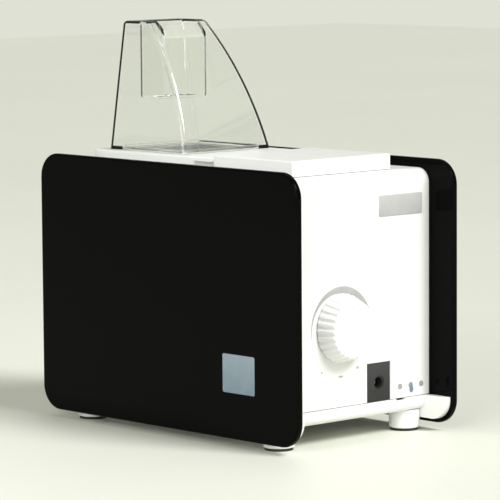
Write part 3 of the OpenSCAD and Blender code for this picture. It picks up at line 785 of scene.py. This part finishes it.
@dataclass
class SidePanels:
    """The two tall gloss panels, and the blank label let into the left one."""

    palette: Palette
    corner: float = 14 * MM
    outer_round: float = 1.3 * MM
    inner_round: float = 0.6 * MM
    label_round: float = 0.2 * MM

    def panel(self, node: str) -> bpy.types.Mesh:
        """Returns a panel with a full round along its outer rim and a small one along its inner rim."""
        low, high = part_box(node)
        outer = max(abs(low.x), abs(high.x))
        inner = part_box("main_housing")[1].x
        rim = RoundRect((low.y, low.z), (high.y, high.z), self.corner)
        solid = cad_solid(node)
        for level, radius, segments in ((outer, self.outer_round, 5), (inner, self.inner_round, 3)):
            soften(solid, radius, lambda p, level=level: abs(rim.distance(p.y, p.z)) < TOUCH
                   and abs(abs(p.x) - level) < TOUCH, segments)
        return smoothed(to_mesh(solid, node))

    def label(self) -> bpy.types.Mesh:
        """Returns the label, with a soft outer rim."""
        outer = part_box("side_label")[0].x
        solid = cad_solid("side_label")
        soften(solid, self.label_round, lambda p: abs(p.x - outer) < TOUCH, 2)
        return smoothed(to_mesh(solid, "side_label"))

    def build(self) -> None:
        """Adds both panels and the label."""
        for node in ("left_panel", "right_panel"):
            add(f"{node}_gloss", self.panel(node), self.palette, "black_gloss", Body.CASING, node)
        add("side_label_blank", self.label(), self.palette, "label", Body.CASING, "side_label")


@dataclass
class Casing:
    """Housing, deck, tray, rails and feet: everything white that stays put."""

    palette: Palette
    seam_round: float = 0.45 * MM
    deck_round: float = 1.3 * MM
    lip_round: float = 0.7 * MM
    foot_round: float = 0.9 * MM
    pad_round: float = 0.4 * MM
    grille_pitch: float = 4.2 * MM
    grille_bar: float = 1.5 * MM

    def housing(self) -> bpy.types.Mesh:
        """Returns the housing with softened rims, slots and mouths."""
        low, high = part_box("main_housing")
        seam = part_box("base_tray")[1].z

        def on_skin(p: Vector) -> bool:
            """Says whether a corner is on the housing's outside, clear of the posts' holes."""
            return p.z > seam and (abs(abs(p.y) - high.y) < TOUCH or abs(p.z - high.z) < TOUCH)

        def on_side(p: Vector) -> bool:
            """Says whether a corner is on the rim that meets a side panel."""
            skin = RoundRect((low.y, -high.z), (high.y, high.z), 8 * MM)
            return abs(abs(p.x) - high.x) < TOUCH and abs(skin.distance(p.y, p.z)) < TOUCH

        solid = cad_solid("main_housing")
        soften(solid, self.seam_round, lambda p: on_side(p) or on_skin(p), 2)
        return smoothed(to_mesh(solid, "housing"))

    def softened(self, node: str,
                 rounds: Sequence[tuple[float, Callable[[Vector], bool], int]]) -> bpy.types.Mesh:
        """Returns a CAD node's solid with several sets of edges rounded, one after the other."""
        solid = cad_solid(node)
        for radius, chosen, segments in rounds:
            soften(solid, radius, chosen, segments)
        return smoothed(to_mesh(solid, node))

    def grille(self) -> bpy.types.Mesh:
        """Returns the air intake: a frame with a row of round-edged bars."""
        low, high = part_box("intake_grille")
        margin = 3.4 * MM
        mid = (low + high) / 2
        outline = RoundRect((low.x, low.y), (high.x, high.y), 2 * MM)
        window = RoundRect((low.x + margin, low.y + margin), (high.x - margin, high.y - margin), 1.5 * MM)
        rim = combined(to_mesh(column(outline, low.z, high.z), "rim"),
                       to_mesh(column(window, low.z - MM, high.z + MM), "window"), Cut.TAKE_AWAY)
        section = RoundRect((low.y + margin, low.z), (low.y + margin + self.grille_bar, high.z), 0.45 * MM)
        ends = (low.x + margin - 0.3 * MM, high.x - margin + 0.3 * MM)
        bar = loft([[Vector((x, y, z)) for y, z in section.points(3)] for x in ends])
        count = int((high.y - low.y - 2 * margin) / self.grille_pitch) + 1
        bars = row_recipe().grow(to_mesh(bar, "bar"), Count=count, Step=(0, self.grille_pitch, 0),
                                 Material=self.palette["white_inner"])
        spread = (count - 1) * self.grille_pitch + self.grille_bar
        bars.transform(Matrix.Translation((0, mid.y - spread / 2 - low.y - margin, 0)))
        return smoothed(combined(rim, bars, Cut.JOIN))

    def build(self) -> None:
        """Adds the white pieces, the pads and the grille."""
        palette = self.palette
        add("housing_shell", self.housing(), palette, "white", Body.CASING, "main_housing")

        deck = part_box("top_deck")[1]
        rim = self.softened("top_deck", [
            (self.deck_round, lambda p: abs(p.z - deck.z) < TOUCH, 4)])
        add("deck_shell", rim, palette, "white", Body.CASING, "top_deck")

        tray_low, tray_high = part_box("base_tray")
        tray = self.softened("base_tray", [
            (self.lip_round, lambda p: abs(p.z - tray_high.z) < TOUCH and abs(p.y) > tray_high.y - 3 * MM, 3)])
        add("base_tray_shell", tray, palette, "white", Body.CASING, "base_tray")

        for node in ("left_rail", "right_rail"):
            low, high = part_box(node)
            rail = self.softened(node, [
                (self.lip_round, lambda p: abs(p.y) > tray_high.y + 0.5 * MM, 3)])
            add(f"{node}_moulded", rail, palette, "white", Body.CASING, node)

        for row in ("front", "rear"):
            for side in ("left", "right"):
                self.foot(f"foot_{row}_{side}", f"pad_{row}_{side}")
        add("intake_grille_bars", self.grille(), palette, "white_inner", Body.CASING, "intake_grille")

    def foot(self, node: str, pad: str) -> None:
        """Adds one foot with a soft lower rim, and its rubber pad with a ribbed sole.

        Args:
            node: The foot's CAD node.
            pad: The pad's CAD node.
        """
        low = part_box(node)[0]
        drum = self.softened(node, [(self.foot_round, lambda p: abs(p.z - low.z) < TOUCH, 4)])
        add(f"{node}_drum", drum, self.palette, "white", Body.CASING, node)
        pad_low, pad_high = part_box(pad)
        radius = (pad_high.x - pad_low.x) / 2
        edge = self.pad_round
        groove = 0.35 * MM
        profile = [(0, groove), (radius * 0.3, groove), (radius * 0.36, 0), (radius * 0.52, 0),
                   (radius * 0.58, groove), (radius * 0.74, groove), (radius * 0.8, 0), (radius - edge, 0),
                   (radius - edge * 0.3, edge * 0.3), (radius, edge), (radius, pad_high.z), (0, pad_high.z)]
        centre = (pad_low + pad_high) / 2
        rings = [[Vector((centre.x + r * math.cos(a * TURN / 48), centre.y + r * math.sin(a * TURN / 48), z))
                  for a in range(48)] for r, z in profile if r > 0]
        sole = loft(rings)
        add(f"{pad}_sole", smoothed(to_mesh(sole, pad)), self.palette, "rubber", Body.CASING, pad)


@dataclass
class Controls:
    """The front: knob, printed scale and droplet, power socket and badge."""

    palette: Palette
    flutes: int = 28
    cutter: float = 1.4 * MM
    stand_off: float = 0.45 * MM
    steps_in_flute: int = 18
    foot_radius: float = 19.5 * MM
    face_radius: float = 16 * MM
    recess_radius: float = 12.8 * MM
    recess: float = 0.6 * MM
    hollow_radius: float = 12.6 * MM
    hub_radius: float = 5.4 * MM
    shaft_radius: float = 3 * MM
    face_thickness: float = 3.1 * MM
    edge: float = 1.1 * MM
    scale_radius: float = 23.3 * MM
    scale_width: float = 4 * MM
    scale_start: float = 202
    scale_end: float = 10
    ink: float = 0.05 * MM
    pointer_proud: float = 0.12 * MM
    front: float = field(init=False)

    def __post_init__(self) -> None:
        """Reads the front face's place from the frame."""
        self.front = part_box("main_housing")[0].y

    def knob_profile(self, depth: float) -> list[tuple[float, float, float]]:
        """Returns the knob's section as radius, grip share and height above its foot.

        Args:
            depth: Height of the face above the foot.

        Returns:
            The section, from the axis inside the hollow, round the outside, to the axis at the face.
        """
        ceiling = depth - self.face_thickness
        bore_top = ceiling + 1.1 * MM
        hub_foot = 2.1 * MM
        points = [(0, 0, bore_top), (self.shaft_radius, 0, bore_top), (self.shaft_radius, 0, hub_foot),
                  (self.hub_radius, 0, hub_foot), (self.hub_radius, 0, ceiling),
                  (self.hollow_radius, 0, ceiling), (self.hollow_radius, 0, 0)]
        foot_radius = self.foot_radius
        lean = (foot_radius - self.face_radius) / depth
        foot_edge = 0.5 * MM
        for step in range(5):
            angle = step / 4 * TURN / 4
            height = foot_edge * (1 - math.cos(angle))
            points.append((foot_radius - foot_edge * (1 - math.sin(angle)), step / 4, height))
        wall_steps = 14
        top = depth - self.edge
        for step in range(1, wall_steps + 1):
            height = foot_edge + (top - foot_edge) * step / wall_steps
            points.append((foot_radius - lean * height, 1, height))
        corner = foot_radius - lean * top
        for step in range(1, 7):
            angle = step / 6 * TURN / 4
            grip = math.cos(angle) ** 0.7 if step < 6 else 0
            points.append((corner - self.edge * (1 - math.cos(angle)), grip, top + self.edge * math.sin(angle)))
        dish = 0.5 * MM
        points.append((self.recess_radius + dish, 0, depth))
        points.append((self.recess_radius, 0, depth - 0.15 * MM))
        points.append((self.recess_radius - dish, 0, depth - self.recess))
        points.append((self.recess_radius * 0.5, 0, depth - self.recess - 0.1 * MM))
        points.append((0, 0, depth - self.recess - 0.12 * MM))
        return points

    def knob(self) -> None:
        """Adds the knob and its raised pointer."""
        low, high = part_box("mist_knob")
        centre = Vector(((low.x + high.x) / 2, high.y, (low.z + high.z) / 2))
        depth = high.y - low.y
        profile = points_mesh(self.knob_profile(depth))
        body = turning_recipe().grow(
            profile, Flutes=float(self.flutes), Cutter_radius=self.cutter, Stand_off=self.stand_off,
            Steps=self.flutes * self.steps_in_flute, Centre=tuple(centre), Material=self.palette["white"])
        solid = bmesh.new()
        solid.from_mesh(body)
        bmesh.ops.recalc_face_normals(solid, faces=solid.faces)
        grip = smoothed(to_mesh(solid, "knob_grip"), 50)
        add("knob_grip", grip, self.palette, "white", Body.KNOB, "mist_knob")

        width, length = 1.6 * MM, 2.6 * MM
        foot = self.recess_radius - 0.4 * MM
        outline = RoundRect((centre.x - width / 2, centre.z + foot),
                            (centre.x + width / 2, centre.z + foot + length), 0.5 * MM)
        pointer = self.print_solid(outline.points(4), low.y + 0.3 * MM, low.y - self.pointer_proud)
        add("knob_pointer", pointer, self.palette, "white", Body.KNOB)

    def print_solid(self, outline: Sequence[tuple[float, float]], back: float, face: float) -> bpy.types.Mesh:
        """Returns a thin flat piece on the front with that outline in X and Z, from back to face in Y."""
        rings = [[Vector((x, y, z)) for x, z in outline] for y in (back, face)]
        return smoothed(to_mesh(loft(rings), "print"))

    def scale(self) -> None:
        """Adds the printed crescent round the knob, which widens clockwise, and its small end marks."""
        low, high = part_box("mist_knob")
        centre = Vector(((low.x + high.x) / 2, 0, (low.z + high.z) / 2))
        steps = 90
        rings = []
        for step in range(steps + 1):
            share = step / steps
            angle = math.radians(self.scale_start + (self.scale_end - self.scale_start) * share)
            width = self.scale_width * math.sin(math.pi * share ** 1.8) ** 0.8 if 0 < share < 1 else 0
            radii = (self.scale_radius, self.scale_radius - max(width, 0.12 * MM))
            spots = [(centre.x + r * math.cos(angle), centre.z + r * math.sin(angle)) for r in radii]
            rings.append([Vector((x, y, z)) for (x, z), y in zip(
                (spots[0], spots[0], spots[1], spots[1]),
                (self.front, self.front - self.ink, self.front - self.ink, self.front))])
        add("scale_crescent", to_mesh(loft(rings), "crescent"), self.palette, "badge", Body.CASING)

        # across, up, width and height of each mark, in mm from the knob's axis
        marks = [(-15.5, -23.4, 1.6, 0.9), (-0.8, -27, 3.4, 1.0), (12.3, -23.2, 2.4, 1.5),
                 (18.2, -14, 1.7, 0.8), (23.7, 1.5, 1.7, 0.7), (23.7, -2.5, 1.7, 0.7)]
        for number, (x, z, width, height) in enumerate(marks, 1):
            outline = RoundRect((centre.x + x * MM - width * MM / 2, centre.z + z * MM - height * MM / 2),
                                (centre.x + x * MM + width * MM / 2, centre.z + z * MM + height * MM / 2),
                                0.45 * height * MM)
            mark = self.print_solid(outline.points(4), self.front, self.front - self.ink)
            add(f"scale_mark_{number}", mark, self.palette, "badge", Body.CASING)

    def droplet(self) -> None:
        """Adds the printed droplet over the middle lamp's lens."""
        low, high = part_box("lamp_lenses")
        centre_x = (low.x + high.x) / 2 + 0.4 * MM
        foot, top, bulge = 22.7 * MM, 29 * MM, 1.5 * MM
        outline = []
        for step in range(48):
            angle = step / 48 * TURN
            rise = (1 - math.cos(angle)) / 2
            outline.append((centre_x + bulge * math.sin(angle) * math.cos(rise * TURN / 4) ** 1.2 * 1.25,
                            foot + (top - foot) * rise))
        face = low.y - self.ink
        add("droplet_mark", self.print_solid(outline, self.front, face), self.palette, "label", Body.CASING)

    def fittings(self) -> None:
        """Adds the socket's plate and mouth and the badge, with softened rims."""
        for node, name, slot, radius in (("jack_plate", "socket_plate", "dark_plastic", 0.3 * MM),
                                         ("front_badge", "badge_blank", "badge", 0.18 * MM)):
            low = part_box(node)[0]
            solid = cad_solid(node)
            soften(solid, radius, lambda p, low=low: abs(p.y - low.y) < TOUCH, 3)
            add(name, smoothed(to_mesh(solid, node)), self.palette, slot, Body.CASING, node)

    def build(self) -> None:
        """Adds the knob, the scale, the droplet and the fittings on the front."""
        self.knob()
        self.scale()
        self.droplet()
        self.fittings()


@dataclass
class MistNozzle:
    """The clear lift-off nozzle: curved front, leaning sides, a square duct and a spigot."""

    palette: Palette
    front_radius: float = 157 * MM
    front_run: float = 42 * MM
    lean: float = 0.15
    wall: float = 2 * MM
    floor: float = 1.6 * MM
    corner: float = 3 * MM
    top_round: float = 2.2 * MM
    duct_half: float = 16.9 * MM
    duct_low: float = 185.5 * MM
    duct_ends: tuple[float, float] = (49.8 * MM, 71.7 * MM)
    duct_wall: float = 1.7 * MM
    duct_corner: float = 3.4 * MM
    duct_lip: float = 1.4 * MM
    mouth_half: float = 28 * MM
    mouth_ends: tuple[float, float] = (20 * MM, 72 * MM)
    spigot_wall: float = 1.6 * MM
    levels: int = 34

    def ring(self, z: float, inset: float, shrink: float = 0.0) -> Ring:
        """Returns the nozzle's section at a height.

        Args:
            z: The height.
            inset: How far the section lies inside the outer form, square to its faces.
            shrink: How far it is drawn in besides, all round.

        Returns:
            The section's points.
        """
        low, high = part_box("mist_nozzle")
        foot = self.foot()
        start, end = Vector((low.y, foot)), Vector((low.y + self.front_run, high.z - MM))
        chord = end - start
        sag = math.sqrt(self.front_radius ** 2 - (chord.length / 2) ** 2)
        across = chord.normalized()
        arc = (start + end) / 2 + sag * Vector((across.y, -across.x))
        front = arc.x - math.sqrt((self.front_radius - inset) ** 2 - (z - arc.y) ** 2)
        half = high.x - inset - self.lean * (z - foot) - shrink
        outline = RoundRect((-half, front + shrink), (half, high.y - inset - shrink),
                            max(self.corner - inset, MM) - shrink * 0.5)
        return [Vector((x, y, z)) for x, y in outline.points(10)]

    def foot(self) -> float:
        """Returns the height of the nozzle's foot, just above the deck."""
        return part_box("top_deck")[1].z + 0.3 * MM

    def form(self, inset: float, low: float, high: float, top_round: float) -> bpy.types.Mesh:
        """Returns the nozzle's form as a solid, drawn in by inset, from low to high."""
        heights = [low + (high - top_round - low) * i / self.levels for i in range(self.levels + 1)]
        rings = [self.ring(z, inset) for z in heights]
        for step in range(1, 6):
            angle = step / 5 * TURN / 4
            rings.append(self.ring(high - top_round * (1 - math.sin(angle)), inset,
                                   top_round * (1 - math.cos(angle))))
        return to_mesh(loft(rings), "form")

    def duct_outline(self, inset: float) -> RoundRect:
        """Returns the duct's outline, drawn in by inset."""
        return RoundRect((-self.duct_half + inset, self.duct_ends[0] + inset),
                         (self.duct_half - inset, self.duct_ends[1] - inset), self.duct_corner - inset)

    def duct(self, inset: float, low: float, high: float) -> bpy.types.Mesh:
        """Returns an upright solid in the duct's outline, drawn in by inset."""
        return to_mesh(column(self.duct_outline(inset), low, high, 8), "duct")

    def duct_outside(self, high: float) -> bpy.types.Mesh:
        """Returns the duct's outside as a solid up to a height, its lower lip rounded."""
        rings = []
        for step in range(7):
            angle = step / 6 * TURN / 4
            shrink = self.duct_lip * (1 - math.sin(angle))
            z = self.duct_low + self.duct_lip * (1 - math.cos(angle))
            rings.append([Vector((x, y, z)) for x, y in self.duct_outline(shrink).points(8)])
        rings.append([Vector((p.x, p.y, high)) for p in rings[-1]])
        return to_mesh(loft(rings), "duct_outside")

    def mouth(self, grow: float, low: float, high: float) -> bpy.types.Mesh:
        """Returns an upright solid in the outline of the opening in the floor, widened by grow."""
        outline = RoundRect((-self.mouth_half - grow, self.mouth_ends[0] - grow),
                            (self.mouth_half + grow, self.mouth_ends[1] + grow), 2 * MM + grow)
        return to_mesh(column(outline, low, high, 5), "mouth")

    def build(self) -> None:
        """Adds the nozzle."""
        low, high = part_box("mist_nozzle")
        foot = self.foot()
        cavity = self.form(self.wall, foot + self.floor, high.z - self.wall, 0.5 * MM)
        cavity = combined(cavity, self.duct_outside(high.z + 5 * MM), Cut.TAKE_AWAY)
        shell = combined(self.form(0, foot, high.z, self.top_round), cavity, Cut.TAKE_AWAY)
        shell = combined(shell, self.duct(self.duct_wall, self.duct_low - MM, high.z + 10 * MM), Cut.TAKE_AWAY)
        spigot = self.mouth(self.spigot_wall, low.z, foot + 0.5 * MM)
        shell = combined(shell, spigot, Cut.JOIN)
        shell = combined(shell, self.mouth(0, low.z - MM, foot + 3 * MM), Cut.TAKE_AWAY)
        add("nozzle_clear", smoothed(shell), self.palette, "clear", Body.NOZZLE, "mist_nozzle")


@dataclass
class BottleParts:
    """The lift-off cover over the bottle well."""

    palette: Palette
    cover_round: float = 1.2 * MM

    def build(self) -> None:
        """Adds the cover."""
        low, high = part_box("bottle_cover")
        solid = cad_solid("bottle_cover")
        soften(solid, self.cover_round, lambda p: abs(p.z - high.z) < TOUCH, 5)
        lid = smoothed(to_mesh(solid, "cover"))
        add("bottle_cover_lid", lid, self.palette, "white", Body.COVER, "bottle_cover")


@dataclass
class Interior:
    """The screws, and the finishes of every part that keeps its CAD shape."""

    palette: Palette

    def screw(self, shank: float, head: float, head_height: float, length: float) -> bpy.types.Object:
        """Returns a pan-head screw with a cross recess, its shank up and its head below the origin."""
        profile = [(head * 0.55, -head_height), (head * 0.85, -head_height * 0.8), (head, -head_height * 0.35),
                   (head, -0.05 * MM), (head * 0.95, 0), (shank, 0), (shank, length - shank),
                   (shank * 0.3, length)]
        angles = [step * TURN / 24 for step in range(24)]
        rings = [[Vector((r * math.cos(a), r * math.sin(a), z)) for a in angles] for r, z in profile]
        screw = to_mesh(loft(rings), "screw")
        slot = head * 0.13
        for reach in (Vector((head * 0.6, slot, 0)), Vector((slot, head * 0.6, 0))):
            low = Vector((-reach.x, -reach.y, -head_height - MM))
            high = Vector((reach.x, reach.y, -head_height * 0.45))
            screw = combined(screw, to_mesh(block(low, high), "slot"), Cut.TAKE_AWAY)
        return with_object(screw, "screw")

    def screws(self) -> None:
        """Adds the screws that hold the housing to the tray."""
        recipe = fastener_recipe()
        low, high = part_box("base_screws")
        spot = Vector((high.x - 3.1 * MM, high.y - 3.1 * MM, low.z + 1.3 * MM))
        corners = [(sx * spot.x, sy * spot.y, spot.z) for sx in (-1, 1) for sy in (-1, 1)]
        screw = self.screw(1.4 * MM, 3.1 * MM, 1.3 * MM, 18 * MM)
        made = recipe.grow(points_mesh(corners), Part=screw, Turn=(0, 0, 0), Material=self.palette["steel"])
        add("base_screw_set", smoothed(made), self.palette, "steel", Body.CASING, "base_screws")
        bpy.data.objects.remove(screw)

    def dress(self) -> None:
        """Gives each CAD node that is still shown the finish of its record slot."""
        slots = {name: part["slot"] for part in frame["record"]["materials"] for name in part.get("nodes", [])}
        for name, node in sorted(frame["nodes"].items()):
            if node.hide_render:
                continue
            slot = slots.get(name) or node.material_slots[0].material.name
            for holder in node.material_slots:
                holder.material = self.palette[slot]
            LOG.info("%s keeps its CAD shape, in %s", name, slot)

    def build(self) -> None:
        """Adds the screws, then dresses the rest."""
        self.screws()
        self.dress()


# ---------- studio ----------


@dataclass
class Studio:
    """A plain pale floor, soft lights and the camera."""

    centre: Vector = field(default_factory=lambda: Vector((0, 0, 95 * MM)))
    azimuth: float = -42.75
    elevation: float = 6.23
    roll: float = -0.41
    distance: float = 1.9047
    aside: float = 2.5 * MM
    raised: float = 5.33 * MM
    lens: float = 239.15
    wall_tone: Colour = (0.74, 0.755, 0.665)
    floor_tone: Colour = (0.76, 0.775, 0.685)
    fill: float = 0.42
    sun_strength: float = 3.0
    sun_azimuth: float = 11
    sun_height: float = 45
    sun_spread: float = 24
    top_place: tuple[float, float, float] = (0.1, 0.2, 1.3)
    top_size: float = 0.7
    top_watts: float = 1.5
    side_place: tuple[float, float, float] = (-1.3, -0.55, 0.55)
    side_size: float = 0.9
    side_watts: float = 13

    def camera(self) -> None:
        """Sets the camera at its place, level but for a slight roll."""
        az, el, roll = (math.radians(a) for a in (self.azimuth, self.elevation, self.roll))
        back = Vector((math.sin(az) * math.cos(el), -math.cos(az) * math.cos(el), math.sin(el)))
        right = Vector((math.cos(az), math.sin(az), 0))
        up = back.cross(right)
        tilted_right = math.cos(roll) * right + math.sin(roll) * up
        tilted_up = math.cos(roll) * up - math.sin(roll) * right
        data = bpy.data.cameras.new("studio_camera")
        data.lens, data.sensor_width = self.lens, 36
        data.clip_start, data.clip_end = 0.01, 50
        camera = bpy.data.objects.new("studio_camera", data)
        place = self.centre + back * self.distance + tilted_right * self.aside + tilted_up * self.raised
        turn = Matrix((tilted_right, tilted_up, back)).transposed().to_4x4()
        camera.matrix_world = Matrix.Translation(place) @ turn
        bpy.context.scene.collection.objects.link(camera)
        bpy.context.scene.camera = camera

    def light(self, name: str, place: Colour, size: float, watts: float, tone: Colour = (1, 1, 1)) -> None:
        """Adds a square area light that looks at the object."""
        data = bpy.data.lights.new(name, "AREA")
        data.size, data.energy, data.color = size, watts, tone
        lamp = bpy.data.objects.new(name, data)
        lamp.location = place
        lamp.rotation_mode = "QUATERNION"
        lamp.rotation_quaternion = (self.centre - Vector(place)).to_track_quat("-Z", "Y")
        bpy.context.scene.collection.objects.link(lamp)

    def sun(self) -> None:
        """Adds the soft main light, which comes from the front, a little to the right."""
        data = bpy.data.lights.new("key", "SUN")
        data.energy, data.angle = self.sun_strength, math.radians(self.sun_spread)
        lamp = bpy.data.objects.new("key", data)
        az, el = math.radians(self.sun_azimuth), math.radians(self.sun_height)
        towards = Vector((math.sin(az) * math.cos(el), -math.cos(az) * math.cos(el), math.sin(el)))
        lamp.rotation_mode = "QUATERNION"
        lamp.rotation_quaternion = towards.to_track_quat("Z", "Y")
        bpy.context.scene.collection.objects.link(lamp)

    def backdrop(self, world: bpy.types.World) -> None:
        """Shows the pale backdrop in full, and lights the object with only a share of it."""
        nodes, links = world.node_tree.nodes, world.node_tree.links
        rays = nodes.new("ShaderNodeLightPath")
        seen = nodes.new("ShaderNodeMath")
        seen.operation = "MAXIMUM"
        links.new(rays.outputs["Is Camera Ray"], seen.inputs[0])
        links.new(rays.outputs["Is Transmission Ray"], seen.inputs[1])
        share = nodes.new("ShaderNodeMath")
        share.operation = "MULTIPLY_ADD"
        links.new(seen.outputs[0], share.inputs[0])
        share.inputs[1].default_value = 1 - self.fill
        share.inputs[2].default_value = self.fill
        sky = nodes["Background"]
        sky.inputs["Color"].default_value = (*self.wall_tone, 1)
        links.new(share.outputs[0], sky.inputs["Strength"])

    def floor(self) -> None:
        """Adds the floor, pale and faintly uneven."""
        mesh = bpy.data.meshes.new("studio_floor")
        reach = 4.0
        mesh.from_pydata([(-reach, -reach, 0), (reach, -reach, 0), (reach, reach, 0), (-reach, reach, 0)], [],
                         [(0, 1, 2, 3)])
        shader = Shader("floor")
        drift = shader.noise(0.4, 2.0)
        shader.feed("Base Color", shader.mixed(drift, self.floor_tone, shaded(self.floor_tone, 1.05)))
        shader.feed("Roughness", shader.level(shader.noise(0.05), 0.5, 0.6))
        mesh.materials.append(shader.material)
        with_object(mesh, "studio_floor")

    def build(self) -> None:
        """Sets up the studio."""
        scene = bpy.context.scene
        scene.view_settings.view_transform = "Standard"
        world = bpy.data.worlds.new("studio")
        world.use_nodes = True
        self.backdrop(world)
        scene.world = world
        self.floor()
        self.camera()
        self.sun()
        self.light("top", self.top_place, self.top_size, self.top_watts)
        self.light("side", self.side_place, self.side_size, self.side_watts)


def main() -> None:
    """Builds the humidifier round its frame, then the studio."""
    logging.basicConfig(level=logging.INFO, format="%(message)s")
    studio = Studio()
    studio.build()
    palette = Palette()
    for assembly in (SidePanels(palette), Casing(palette), Controls(palette), MistNozzle(palette),
                     BottleParts(palette), Interior(palette)):
        LOG.info("building %s", type(assembly).__name__)
        assembly.build()


if __name__ == "__main__":
    main()
